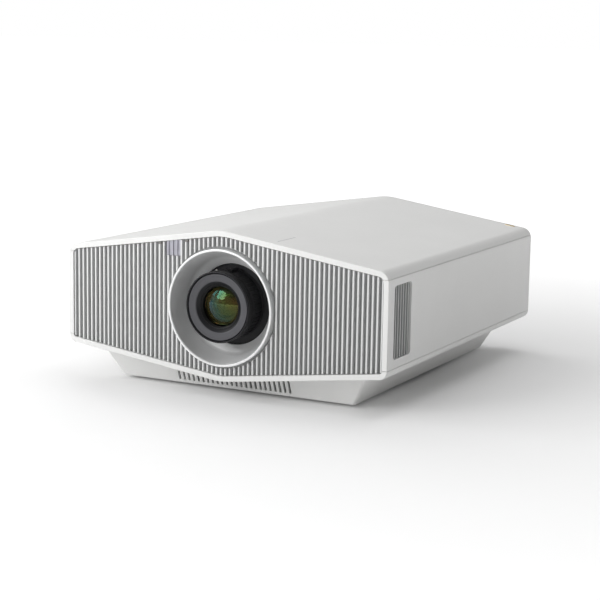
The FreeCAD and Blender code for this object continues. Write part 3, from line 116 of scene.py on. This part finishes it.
# ---------------------------------------------------------------- node helpers
class Shader:
    """A node material with one Principled shader, built up step by step."""

    def __init__(self, name):
        self.material = bpy.data.materials.new(name)
        self.material.use_nodes = True
        self.tree = self.material.node_tree
        self.shader = self.tree.nodes["Principled BSDF"]
        self.place = self.add("ShaderNodeTexCoord").outputs["Object"]

    def add(self, kind, **values):
        node = self.tree.nodes.new(kind)
        for key, value in values.items():
            setattr(node, key, value)
        return node

    def link(self, output, socket):
        self.tree.links.new(output, socket)

    def set(self, **values):
        for key, value in values.items():
            self.shader.inputs[key.replace("_", " ")].default_value = value

    def scaled(self, sx, sy, sz):
        """Object coordinates in millimetres, stretched along the axes."""
        mapping = self.add("ShaderNodeMapping")
        mapping.inputs["Scale"].default_value = (1000 * sx, 1000 * sy, 1000 * sz)
        self.link(self.place, mapping.inputs["Vector"])
        return mapping.outputs["Vector"]

    def noise(self, size, detail=3.0, stretch=(1, 1, 1), rough=0.55):
        """Noise whose features are about size millimetres across."""
        node = self.add("ShaderNodeTexNoise")
        node.inputs["Scale"].default_value = 1.0
        node.inputs["Detail"].default_value = detail
        node.inputs["Roughness"].default_value = rough
        self.link(self.scaled(*[s / size for s in stretch]), node.inputs["Vector"])
        return node.outputs["Fac"]

    def ramp(self, factor, stops, interpolation="LINEAR"):
        node = self.add("ShaderNodeValToRGB")
        ramp = node.color_ramp
        ramp.interpolation = interpolation
        while len(ramp.elements) < len(stops):
            ramp.elements.new(0.5)
        for element, (position, colour) in zip(ramp.elements, stops):
            element.position = position
            element.color = (*colour, 1.0)
        self.link(factor, node.inputs["Fac"])
        return node.outputs["Color"]

    def math(self, operation, a, b=None, clamp=False):
        node = self.add("ShaderNodeMath", operation=operation, use_clamp=clamp)
        for socket, value in zip(node.inputs, (a, b)):
            if value is None:
                continue
            if isinstance(value, (int, float)):
                socket.default_value = value
            else:
                self.link(value, socket)
        return node.outputs["Value"]

    def between(self, factor, low, high, out_low=0.0, out_high=1.0):
        node = self.add("ShaderNodeMapRange")
        for name, value in zip(("From Min", "From Max", "To Min", "To Max"), (low, high, out_low, out_high)):
            node.inputs[name].default_value = value
        self.link(factor, node.inputs["Value"])
        return node.outputs["Result"]

    def mix(self, factor, a, b, blend="MIX"):
        node = self.add("ShaderNodeMix", data_type="RGBA", blend_type=blend)
        for socket, value in ((node.inputs["Factor"], factor), (node.inputs[6], a), (node.inputs[7], b)):
            if isinstance(value, (int, float)):
                socket.default_value = value
            elif isinstance(value, tuple):
                socket.default_value = (*value, 1.0)
            else:
                self.link(value, socket)
        return node.outputs[2]

    def axis(self, which):
        """One object coordinate, in millimetres."""
        node = self.add("ShaderNodeSeparateXYZ")
        self.link(self.scaled(1, 1, 1), node.inputs["Vector"])
        return node.outputs[which]

    def colour(self, output):
        self.link(output, self.shader.inputs["Base Color"])

    def roughness(self, factor, low, high):
        self.link(self.between(factor, 0.3, 0.7, low, high), self.shader.inputs["Roughness"])

    def bump(self, height, depth, strength=1.0):
        """depth is the height of the relief in millimetres."""
        node = self.add("ShaderNodeBump")
        node.inputs["Distance"].default_value = depth * MM
        node.inputs["Strength"].default_value = strength
        self.link(height, node.inputs["Height"])
        self.link(node.outputs["Normal"], self.shader.inputs["Normal"])


def shade(colour, amount):
    return tuple(max(0.0, min(1.0, c * amount)) for c in colour)


def moulded(name, colour, roughness, grain=0.7, depth=0.012, mottle=0.03, patch=60.0, specular=0.5):
    """Moulded plastic: a spark-eroded grain, slight flow patches and uneven gloss."""
    s = Shader(name)
    fine = s.noise(grain, 4.0)
    wide = s.noise(patch, 2.0)
    s.colour(s.ramp(wide, [(0.3, shade(colour, 1 - mottle)), (0.7, shade(colour, 1 + mottle))]))
    s.roughness(s.noise(grain * 9, 3.0), roughness - 0.05, roughness + 0.07)
    s.bump(fine, depth)
    s.set(Specular_IOR_Level=specular)
    return s


def metal(name, colour, roughness, brush=None, size=0.25, depth=0.006, stain=0.06):
    """Metal. brush is the axis that the brush marks run along, or None for a cast or rolled skin."""
    s = Shader(name)
    stretch = {"x": (0.02, 1, 1), "y": (1, 0.02, 1), "z": (1, 1, 0.02), None: (1, 1, 1)}[brush]
    fine = s.noise(size, 4.0, stretch)
    wide = s.noise(25.0, 3.0)
    s.colour(s.ramp(wide, [(0.3, shade(colour, 1 - stain)), (0.7, shade(colour, 1 + stain))]))
    s.roughness(fine, roughness - 0.08, roughness + 0.1)
    s.bump(fine, depth)
    s.set(Metallic=1.0)
    return s


# ---------------------------------------------------------------- materials of the case
def case_white():
    s = moulded("case_white", (0.80, 0.80, 0.79), 0.46, grain=0.55, depth=0.010, mottle=0.012, patch=90)
    return s.material


def pedestal_white():
    s = moulded("pedestal_white", (0.78, 0.78, 0.77), 0.50, grain=0.6, depth=0.012, mottle=0.015, patch=90)
    return s.material


def vent_white():
    """Slats: the same white, with painted shade darkening them towards their roots in the recesses between
    them.
    """
    s = moulded("vent_white", (0.60, 0.61, 0.60), 0.5, grain=0.6)
    side = s.math("ABSOLUTE", s.axis("X"))
    # painted shade: the colour darkens with depth between the slats, near black at their roots
    depth = s.between(side, HALF_WIDTH / MM - 5.6, HALF_WIDTH / MM - 1.2)
    s.colour(s.ramp(depth, [
        (0.0, (0.12, 0.125, 0.125)), (0.55, (0.34, 0.345, 0.34)), (1.0, (0.56, 0.57, 0.56))]))
    return s.material


def grille_silver():
    """Silver-grey paint: bright on the ribs' faces, with painted shade darkening it down in the valleys."""
    s = Shader("grille_silver")
    depth = s.between(s.axis("Y"), FRONT_Y / MM + 1.3, FRONT_Y / MM + 6.2)
    flakes = s.noise(0.18, 2.0)
    # painted shade: the paint darkens with depth behind the rib faces, darkest on the valley floor
    tone = s.ramp(depth, [(0.0, (0.78, 0.785, 0.78)), (0.14, (0.68, 0.685, 0.685)),
                          (0.80, (0.60, 0.605, 0.605)), (1.0, (0.32, 0.325, 0.325))])
    sparkle = s.ramp(flakes, [(0.35, (0.90, 0.90, 0.90)), (0.65, (1.0, 1.0, 1.0))])
    s.colour(s.mix(1.0, tone, sparkle, "MULTIPLY"))
    s.roughness(s.noise(2.0, 3.0), 0.34, 0.46)
    s.bump(s.noise(0.4, 3.0), 0.006)
    s.set(Metallic=0.2)
    return s.material


def ring_silver():
    """Satin silver paint with fine flakes."""
    s = Shader("ring_silver")
    flakes = s.noise(0.12, 2.0)
    wide = s.noise(40.0, 2.0)
    tone = s.ramp(wide, [(0.3, (0.86, 0.865, 0.865)), (0.7, (0.90, 0.905, 0.905))])
    sparkle = s.ramp(flakes, [(0.3, (0.92, 0.92, 0.92)), (0.7, (1.0, 1.0, 1.0))])
    s.colour(s.mix(1.0, tone, sparkle, "MULTIPLY"))
    s.roughness(s.noise(1.2, 3.0), 0.30, 0.40)
    s.bump(flakes, 0.002)
    s.set(Metallic=0.28)
    return s.material


def window_lavender():
    s = Shader("window_lavender")
    wide = s.noise(9.0, 2.0)
    s.colour(s.ramp(wide, [(0.35, (0.40, 0.395, 0.455)), (0.65, (0.47, 0.465, 0.53))]))
    s.roughness(s.noise(0.8), 0.14, 0.24)
    s.set(Coat_Weight=0.5, Coat_Roughness=0.1, Transmission_Weight=0.15)
    return s.material


def filter_grey():
    s = moulded("filter_grey", (0.018, 0.019, 0.02), 0.9, grain=0.3, depth=0.05, mottle=0.2, patch=8)
    return s.material


# ---------------------------------------------------------------- materials of the lens
def lens_grey():
    """Anodised dark grey, faintly turned: rings round the lens axis; the recess round the glass and the
    groove by the rim are painted darker as shade.
    """
    s = Shader("lens_grey")
    x = s.math("SUBTRACT", s.axis("X"), LENS.x / MM)
    z = s.math("SUBTRACT", s.axis("Z"), LENS.z / MM)
    radius = s.math("SQRT", s.math("ADD", s.math("MULTIPLY", x, x), s.math("MULTIPLY", z, z)))
    turned = s.math("SINE", s.math("MULTIPLY", radius, 21.0))
    grain = s.noise(0.25, 3.0)
    # painted shade: near black in the recess round the glass (radius 24 to 28) and darker in the groove by
    # the rim (about 43 to 45)
    face = s.ramp(s.between(radius, 24.0, 46.0), [
        (0.0, (0.004, 0.004, 0.004)), (0.13, (0.007, 0.007, 0.007)), (0.19, (0.012, 0.012, 0.013)),
        (0.37, (0.018, 0.018, 0.020)), (0.385, (0.094, 0.094, 0.102)), (0.82, (0.088, 0.088, 0.096)),
        (0.86, (0.030, 0.030, 0.033)), (0.95, (0.026, 0.026, 0.029)), (0.965, (0.006, 0.006, 0.007))])
    s.colour(s.mix(1.0, face, s.ramp(grain, [(0.3, (0.86, 0.86, 0.86)), (0.7, (1, 1, 1))]), "MULTIPLY"))
    s.roughness(s.noise(1.5), 0.36, 0.48)
    s.bump(s.math("ADD", s.math("MULTIPLY", turned, 0.5), grain), 0.006)
    s.set(Specular_IOR_Level=0.2)
    return s.material


def lens_black():
    s = moulded("lens_black", (0.007, 0.007, 0.008), 0.55, grain=0.5, depth=0.02, mottle=0.2, patch=12,
                specular=0.15)
    return s.material


def collar_grey():
    s = moulded("collar_grey", (0.030, 0.030, 0.032), 0.55, grain=0.4, depth=0.012, mottle=0.1, patch=15,
                specular=0.2)
    return s.material


def coated_glass(name, tint, film, ior=1.6, specular=0.5):
    """Clear glass with a thin interference coating. film is its thickness in nanometres."""
    s = Shader(name)
    smudge = s.noise(12.0, 3.0)
    s.colour(s.ramp(smudge, [(0.3, shade(tint, 0.97)), (0.7, tint)]))
    s.link(s.between(smudge, 0.3, 0.8, 0.0, 0.03), s.shader.inputs["Roughness"])
    s.set(Transmission_Weight=1.0, IOR=ior, Thin_Film_Thickness=film, Thin_Film_IOR=1.38,
          Specular_IOR_Level=specular)
    return s.material


# ---------------------------------------------------------------- materials of the inside
def circuit_board(name, base, trace, part):
    """Solder mask with traces; what stands on the board is dark."""
    s = Shader(name)
    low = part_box(name.replace("_look", ""))[0].z / MM
    tracks = s.add("ShaderNodeTexBrick")
    tracks.inputs["Scale"].default_value = 1.0
    tracks.inputs["Mortar Size"].default_value = 0.35
    tracks.inputs["Brick Width"].default_value = 9.0
    tracks.inputs["Row Height"].default_value = 2.4
    s.link(s.scaled(1, 1, 1), tracks.inputs["Vector"])
    cells = s.noise(7.0, 2.0)
    lines = s.math("MULTIPLY", tracks.outputs["Fac"], s.between(cells, 0.45, 0.55))
    board = s.mix(lines, base, trace)
    up = s.between(s.axis("Z"), low + 7.7, low + 7.9)
    s.colour(s.mix(up, board, part))
    s.roughness(s.noise(2.0), 0.35, 0.6)
    s.bump(s.math("ADD", s.math("MULTIPLY", lines, 0.6), s.noise(0.5)), 0.02)
    return s.material


def phosphor_disc():
    """A yellow phosphor band on a polished disc."""
    s = Shader("phosphor_disc")
    centre = middle("phosphor_wheel") / MM
    y = s.math("SUBTRACT", s.axis("Y"), centre.y)
    z = s.math("SUBTRACT", s.axis("Z"), centre.z)
    radius = s.math("SQRT", s.math("ADD", s.math("MULTIPLY", y, y), s.math("MULTIPLY", z, z)))
    band = s.ramp(s.between(radius, 0.0, 32.0), [
        (0.0, (0.6, 0.6, 0.61)), (0.68, (0.62, 0.62, 0.63)), (0.70, (0.75, 0.60, 0.08)),
        (0.95, (0.78, 0.64, 0.10)), (0.97, (0.62, 0.62, 0.63))], "CONSTANT")
    s.colour(s.mix(0.15, band, s.ramp(s.noise(0.4), [(0.3, (0.3, 0.3, 0.3)), (0.7, (1, 1, 1))]), "MULTIPLY"))
    s.roughness(s.noise(1.0), 0.25, 0.5)
    s.set(Metallic=0.4)
    return s.material


def sockets():
    """Black mouldings behind plated steel shells, which show at the rims."""
    s = Shader("sockets")
    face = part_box("signal_sockets")[1].y / MM
    rim = s.between(s.axis("Y"), face - 0.9, face - 0.7)
    s.colour(s.mix(rim, (0.02, 0.02, 0.022), (0.55, 0.55, 0.56)))
    s.link(rim, s.shader.inputs["Metallic"])
    s.roughness(s.noise(0.8), 0.3, 0.45)
    s.bump(s.noise(0.3), 0.01)
    return s.material


LOOKS = {}


def plain_looks():
    """The remaining slots, as moulded or metal finishes."""
    LOOKS.update({
        "case_white": case_white(), "pedestal_white": pedestal_white(), "vent_white": vent_white(),
        "grille_silver": grille_silver(), "ring_silver": ring_silver(), "window_lavender": window_lavender(),
        "filter_grey": filter_grey(), "lens_grey": lens_grey(), "lens_black": lens_black(),
        "lens_glass": coated_glass("lens_glass", (0.46, 0.52, 0.34), 404.0, 1.52, 0.12),
        "inner_glass": coated_glass("inner_glass", (0.40, 0.39, 0.22), 424.0, 1.52, 0.25),
        "prism_glass": coated_glass("prism_glass", (0.86, 0.93, 0.98), 300.0, 1.52),
        "foot_rubber": moulded("foot_rubber", (0.02, 0.02, 0.02), 0.85, 0.5, 0.05, 0.3, 10, 0.2).material,
        "foot_plastic": moulded("foot_plastic", (0.03, 0.03, 0.031), 0.5).material,
        "screw_zinc": metal("screw_zinc", (0.30, 0.30, 0.31), 0.35, None, 0.4).material,
        "shift_steel": metal("shift_steel", (0.55, 0.55, 0.56), 0.35, "x").material,
        "mount_aluminium": metal("mount_aluminium", (0.60, 0.60, 0.61), 0.5, None, 0.8, 0.03).material,
        "chassis_steel": metal("chassis_steel", (0.62, 0.63, 0.65), 0.38, None, 6.0, 0.004, 0.12).material,
        "engine_aluminium": metal("engine_aluminium", (0.50, 0.51, 0.52), 0.5, None, 0.9, 0.04).material,
        "panel_dark": metal("panel_dark", (0.08, 0.082, 0.085), 0.45, "z").material,
        "laser_block": metal("laser_block", (0.45, 0.46, 0.48), 0.36, "x", 0.3).material,
        "copper_pipe": metal("copper_pipe", (0.72, 0.36, 0.22), 0.28, "y").material,
        "fin_aluminium": metal("fin_aluminium", (0.80, 0.80, 0.81), 0.3, "z", 0.4).material,
        "phosphor": phosphor_disc(),
        "motor_steel": metal("motor_steel", (0.22, 0.22, 0.23), 0.35, "y").material,
        "fan_black": moulded("fan_black", (0.016, 0.016, 0.018), 0.42).material,
        "board_green": circuit_board("main_board_look", (0.010, 0.075, 0.035), (0.05, 0.20, 0.09),
                                     (0.05, 0.05, 0.055)),
        "board_brown": circuit_board("power_board_look", (0.16, 0.095, 0.035), (0.30, 0.20, 0.08),
                                     (0.035, 0.035, 0.04)),
        "rear_plate": moulded("rear_plate", (0.045, 0.045, 0.048), 0.5, 0.4, 0.02).material,
        "socket_black": sockets(),
        "panel_grey": moulded("panel_grey", (0.19, 0.195, 0.20), 0.45).material,
        "key_grey": moulded("key_grey", (0.07, 0.072, 0.075), 0.4).material,
        "lamp_lens": moulded("lamp_lens", (0.30, 0.62, 0.36), 0.2, 0.5, 0.002).material,
    })


def piece_looks():
    """Looks that no slot has by itself: the collar, and the pieces added here."""
    LOOKS.update({
        "collar_grey": collar_grey(),
        "clip_grey": moulded("clip_grey", (0.25, 0.24, 0.23), 0.5).material,
        "badge_gold": metal("badge_gold", (0.80, 0.62, 0.32), 0.32, "x", 0.3).material,
        "mark_grey": moulded("mark_grey", (0.42, 0.42, 0.43), 0.5, 0.3).material,
        "retainer_grey": metal("retainer_grey", (0.055, 0.058, 0.048), 0.38, None, 0.3).material,
        "screw_bright": metal("screw_bright", (0.72, 0.70, 0.66), 0.3, None, 0.2).material,
    })


def dress():
    """Puts each slot's look on the CAD nodes that use it."""
    for row in frame["record"]["subparts"]:
        mesh = nodes[row["node"]].data
        look = LOOKS[row["material_slot"]]
        if row["node"] == "lens_barrel":
            look = LOOKS["collar_grey"]
        if mesh.materials:
            for i in range(len(mesh.materials)):
                mesh.materials[i] = look
        else:
            mesh.materials.append(look)


# ---------------------------------------------------------------- mesh helpers
def piece(name, mesh, look, body):
    """Adds a mesh to the scene as a piece that rides on a body."""
    data = bpy.data.meshes.new(name)
    mesh.to_mesh(data)
    mesh.free()
    obj = bpy.data.objects.new(name, data)
    bpy.context.scene.collection.objects.link(obj)
    data.materials.append(look)
    for polygon in data.polygons:
        polygon.use_smooth = True
    data.set_sharp_from_angle(angle=SHARP_ANGLE)
    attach(obj, body)
    return obj


def ring_strip(mesh, profile, centre, segments, radius_at=None):
    """Turns a closed (radius, y) outline round the Y axis through centre. radius_at may add relief."""
    rows = []
    for i in range(segments):
        angle = 2 * math.pi * i / segments
        row = []
        for radius, y in profile:
            r = radius + (radius_at(angle, radius, y) if radius_at else 0.0)
            row.append(mesh.verts.new((centre.x + r * math.cos(angle), y, centre.z + r * math.sin(angle))))
        rows.append(row)
    n = len(profile)
    for i in range(segments):
        a, b = rows[i], rows[(i + 1) % segments]
        for j in range(n):
            k = (j + 1) % n
            mesh.faces.new((a[j], a[k], b[k], b[j]))
    bmesh.ops.recalc_face_normals(mesh, faces=mesh.faces)


def block(mesh, low, high, bevel=0.0):
    """A box between two corners, its edges rounded by bevel."""
    made = bmesh.ops.create_cube(mesh, size=1.0)["verts"]
    size = high - low
    centre = (high + low) / 2
    bmesh.ops.scale(mesh, vec=size, verts=made)
    bmesh.ops.translate(mesh, vec=centre, verts=made)
    if bevel:
        edges = list({e for v in made for e in v.link_edges})
        bmesh.ops.bevel(mesh, geom=edges, offset=bevel, segments=3, profile=0.5, affect="EDGES")


# ---------------------------------------------------------------- pieces
def focus_knurl():
    """A band of fine ridges round the focus ring."""
    y0, y1 = LENS.y + 9.1 * MM, LENS.y + 13.4 * MM

    def relief(angle, r, y):
        if r <= KNURL_R:
            return 0.0
        return KNURL_HEIGHT * (max(-0.4, math.cos(KNURL_RIDGES * angle)) - 1.0) * 0.6

    root, crest, chamfer = KNURL_R - 0.3 * MM, KNURL_R + 0.35 * MM, 0.4 * MM
    mesh = bmesh.new()
    ring_strip(mesh, [(root, y0), (crest, y0 + chamfer), (crest, y1 - chamfer), (root, y1)], LENS,
               KNURL_RIDGES * 8, relief)
    piece("focus_ring_knurl", mesh, LOOKS["lens_black"], "focus")


def window_clips():
    """The two clips that hold the receiver's window, above the ribs that stop short for them."""
    mesh = bmesh.new()
    for i in CLIP_RIBS:
        x = i * RIB_PITCH
        top = roof_z(x) - 8.3 * MM
        block(mesh, Vector((x - 1.9 * MM, FRONT_Y + 3.0 * MM, top - 3.0 * MM)),
              Vector((x + 1.9 * MM, FRONT_Y + 6.3 * MM, top - 0.3 * MM)), 0.3 * MM)
    piece("window_clips", mesh, LOOKS["clip_grey"], "case")


def roof_z(x):
    """Height of the roof at x, on the plane between its ridge and the rounding of its edge."""
    return RIDGE_Z + RIDGE_ROUNDING - ROOF_SLOPE * abs(x)


def roof_slab(mesh, x0, x1, y0, y1, low, high, bevel):
    """A block lying on the roof's slope, from low to high above its surface."""
    made = bmesh.ops.create_cube(mesh, size=1.0)["verts"]
    bmesh.ops.scale(mesh, vec=Vector((x1 - x0, y1 - y0, high - low)), verts=made)
    edges = list({e for v in made for e in v.link_edges})
    if bevel:
        rounded = bmesh.ops.bevel(mesh, geom=edges, offset=bevel, segments=3, profile=0.5, affect="EDGES")
        made = rounded["verts"]
    x = (x0 + x1) / 2
    slope = math.copysign(math.atan(ROOF_SLOPE), x)
    place = Vector((x, (y0 + y1) / 2, roof_z(x) + (low + high) / 2))
    turn = Matrix.Rotation(slope, 4, "Y")
    bmesh.ops.transform(mesh, matrix=Matrix.Translation(place) @ turn, verts=made)


def roof_marks():
    """A small blank plate let into the roof at the rear, and a fine engraved line by the front."""
    for name, extent, look in (("roof_badge", BADGE, "badge_gold"), ("roof_mark", MARK, "mark_grey")):
        mesh = bmesh.new()
        roof_slab(mesh, *(value * MM for value in extent))
        piece(name, mesh, LOOKS[look], "case")


def lens_retainers():
    """Blackened retaining rings and element edges, seen nested through the front glass."""
    low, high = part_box("front_lens")
    centre = Vector((middle("front_lens").x, low.y, middle("front_lens").z))
    y = high.y + 1.2 * MM
    for name, radius, width, back, look in RETAINERS:
        mesh = bmesh.new()
        outer, inner = radius * MM, (radius - width) * MM
        near = y + back * MM
        ring_strip(mesh, [(outer, near), (inner + 0.5 * MM, near), (inner, near + 0.5 * MM),
                          (inner, near + RETAINER_DEPTH), (outer, near + RETAINER_DEPTH)], centre, 96)
        piece(name, mesh, LOOKS[look], "front_group")
    mesh = bmesh.new()
    bulge(mesh, centre, SECOND_ELEMENT_R, y + SECOND_ELEMENT_BACK, SECOND_ELEMENT_RISE)
    piece("second_element", mesh, LOOKS["inner_glass"], "front_group")


def bulge(mesh, centre, radius, y, rise, rings=12, segments=72):
    """A shallow dome towards -Y, closed by a flat back behind its rim."""
    rows = []
    for j in range(1, rings + 1):
        r = radius * j / rings
        sag = rise * (1 - (j / rings) ** 2)
        rows.append([mesh.verts.new((centre.x + r * math.cos(a), y - sag, centre.z + r * math.sin(a)))
                     for a in (2 * math.pi * i / segments for i in range(segments))])
    rows.append([mesh.verts.new((v.co.x, y + ELEMENT_THICK, v.co.z)) for v in rows[-1]])
    tip = mesh.verts.new((centre.x, y - rise, centre.z))
    end = mesh.verts.new((centre.x, y + ELEMENT_THICK, centre.z))
    for i in range(segments):
        k = (i + 1) % segments
        mesh.faces.new((tip, rows[0][i], rows[0][k]))
        mesh.faces.new((end, rows[-1][k], rows[-1][i]))
        for a, b in zip(rows, rows[1:]):
            mesh.faces.new((a[i], b[i], b[k], a[k]))
    bmesh.ops.recalc_face_normals(mesh, faces=mesh.faces)


def collar_screw():
    """A small bright screw in the collar round the lens, above it."""
    mesh = bmesh.new()
    near, far = SCREW.y - 0.9 * MM, SCREW.y + 2.0 * MM
    centre, flat, rim = 0.0004 * MM, 1.1 * MM, 1.5 * MM
    ring_strip(mesh, [(centre, near), (flat, near), (rim, SCREW.y - 0.5 * MM), (rim, far), (centre, far)],
               SCREW, 24)
    bmesh.ops.remove_doubles(mesh, verts=mesh.verts, dist=0.01 * MM)    # closes both ends at the centre
    piece("collar_screw", mesh, LOOKS["screw_bright"], "shift_h")


# ---------------------------------------------------------------- studio
def camera():
    """Seen from the front right, a little above, through a long lens."""
    level, height = math.cos(CAMERA_ELEVATION), math.sin(CAMERA_ELEVATION)
    back = Vector((math.sin(CAMERA_AZIMUTH) * level, -math.cos(CAMERA_AZIMUTH) * level, height))
    right = (-back).cross(Vector((0, 0, 1))).normalized()
    up = right.cross(-back)
    c, k = math.cos(CAMERA_ROLL), math.sin(CAMERA_ROLL)
    right, up = right * c + up * k, -right * k + up * c
    data = bpy.data.cameras.new("camera")
    data.sensor_width = 36.0
    data.lens = CAMERA_FOCAL
    data.clip_start = 0.05
    data.clip_end = 100.0
    obj = bpy.data.objects.new("camera", data)
    bpy.context.scene.collection.objects.link(obj)
    turn = Matrix((right, up, back)).transposed().to_4x4()
    obj.matrix_world = Matrix.Translation(CAMERA_AIM + back * CAMERA_DISTANCE) @ turn
    bpy.context.scene.camera = obj


def area_light(name, place, target, size, watts):
    data = bpy.data.lights.new(name, "AREA")
    data.shape = "RECTANGLE"
    data.size, data.size_y = size
    data.energy = watts
    obj = bpy.data.objects.new(name, data)
    bpy.context.scene.collection.objects.link(obj)
    place = Vector(place)
    turn = (Vector(target) - place).to_track_quat("-Z", "Y").to_matrix().to_4x4()
    obj.matrix_world = Matrix.Translation(place) @ turn


def floor_look():
    """Pale paper, giving off some light of its own away from the projector's foot; it gives off less towards
    the foot, a painted shadow round the projector.
    """
    s = moulded("floor_white", (0.82, 0.82, 0.82), 0.8, grain=4.0, depth=0.02, mottle=0.01, patch=400)
    x, y = s.axis("X"), s.axis("Y")
    away = s.math("SQRT", s.math("ADD", s.math("MULTIPLY", x, x), s.math("MULTIPLY", y, y)))
    # painted shadow: the floor gives off no light by the projector and more further away
    painted_glow_and_shadow = s.ramp(s.between(away, FLOOR_GLOW_FROM, FLOOR_GLOW_TO),
                  [(place, (grey, grey, grey)) for place, grey in FLOOR_GLOW])
    s.link(painted_glow_and_shadow, s.shader.inputs["Emission Color"])
    s.set(Emission_Strength=1.0)
    return s.material


def studio():
    """Soft light from the upper left and the front left, fill from behind, a white surround."""
    world = bpy.data.worlds.new("studio")
    world.use_nodes = True
    tree = world.node_tree
    background = tree.nodes["Background"]
    direction = tree.nodes.new("ShaderNodeTexCoord")
    towards = tree.nodes.new("ShaderNodeVectorMath")
    towards.operation = "DOT_PRODUCT"
    towards.inputs[1].default_value = SKY_TOWARDS
    tree.links.new(direction.outputs["Generated"], towards.inputs[0])
    sky = tree.nodes.new("ShaderNodeMapRange")
    for name, value in zip(("From Min", "From Max", "To Min", "To Max"), (*SKY_RANGE, *SKY_STRENGTH)):
        sky.inputs[name].default_value = value
    tree.links.new(towards.outputs["Value"], sky.inputs["Value"])
    path = tree.nodes.new("ShaderNodeLightPath")
    seen = tree.nodes.new("ShaderNodeMix")
    seen.inputs[3].default_value = 1.0
    tree.links.new(path.outputs["Is Camera Ray"], seen.inputs[0])
    tree.links.new(sky.outputs["Result"], seen.inputs[2])
    tree.links.new(seen.outputs[0], background.inputs["Strength"])
    background.inputs["Color"].default_value = (1.0, 1.0, 1.0, 1.0)
    bpy.context.scene.world = world
    for lamp in LAMPS:
        area_light(*lamp)
    floor_mesh = bmesh.new()
    bmesh.ops.create_grid(floor_mesh, x_segments=1, y_segments=1, size=FLOOR_HALF)
    data = bpy.data.meshes.new("floor")
    floor_mesh.to_mesh(data)
    floor_mesh.free()
    floor = bpy.data.objects.new("floor", data)
    bpy.context.scene.collection.objects.link(floor)
    data.materials.append(floor_look())
    view = bpy.context.scene.view_settings
    view.view_transform = "Standard"
    view.look = "None"


# ---------------------------------------------------------------- the scene
camera()
studio()
plain_looks()
piece_looks()
dress()
focus_knurl()
window_clips()
roof_marks()
lens_retainers()
collar_screw()
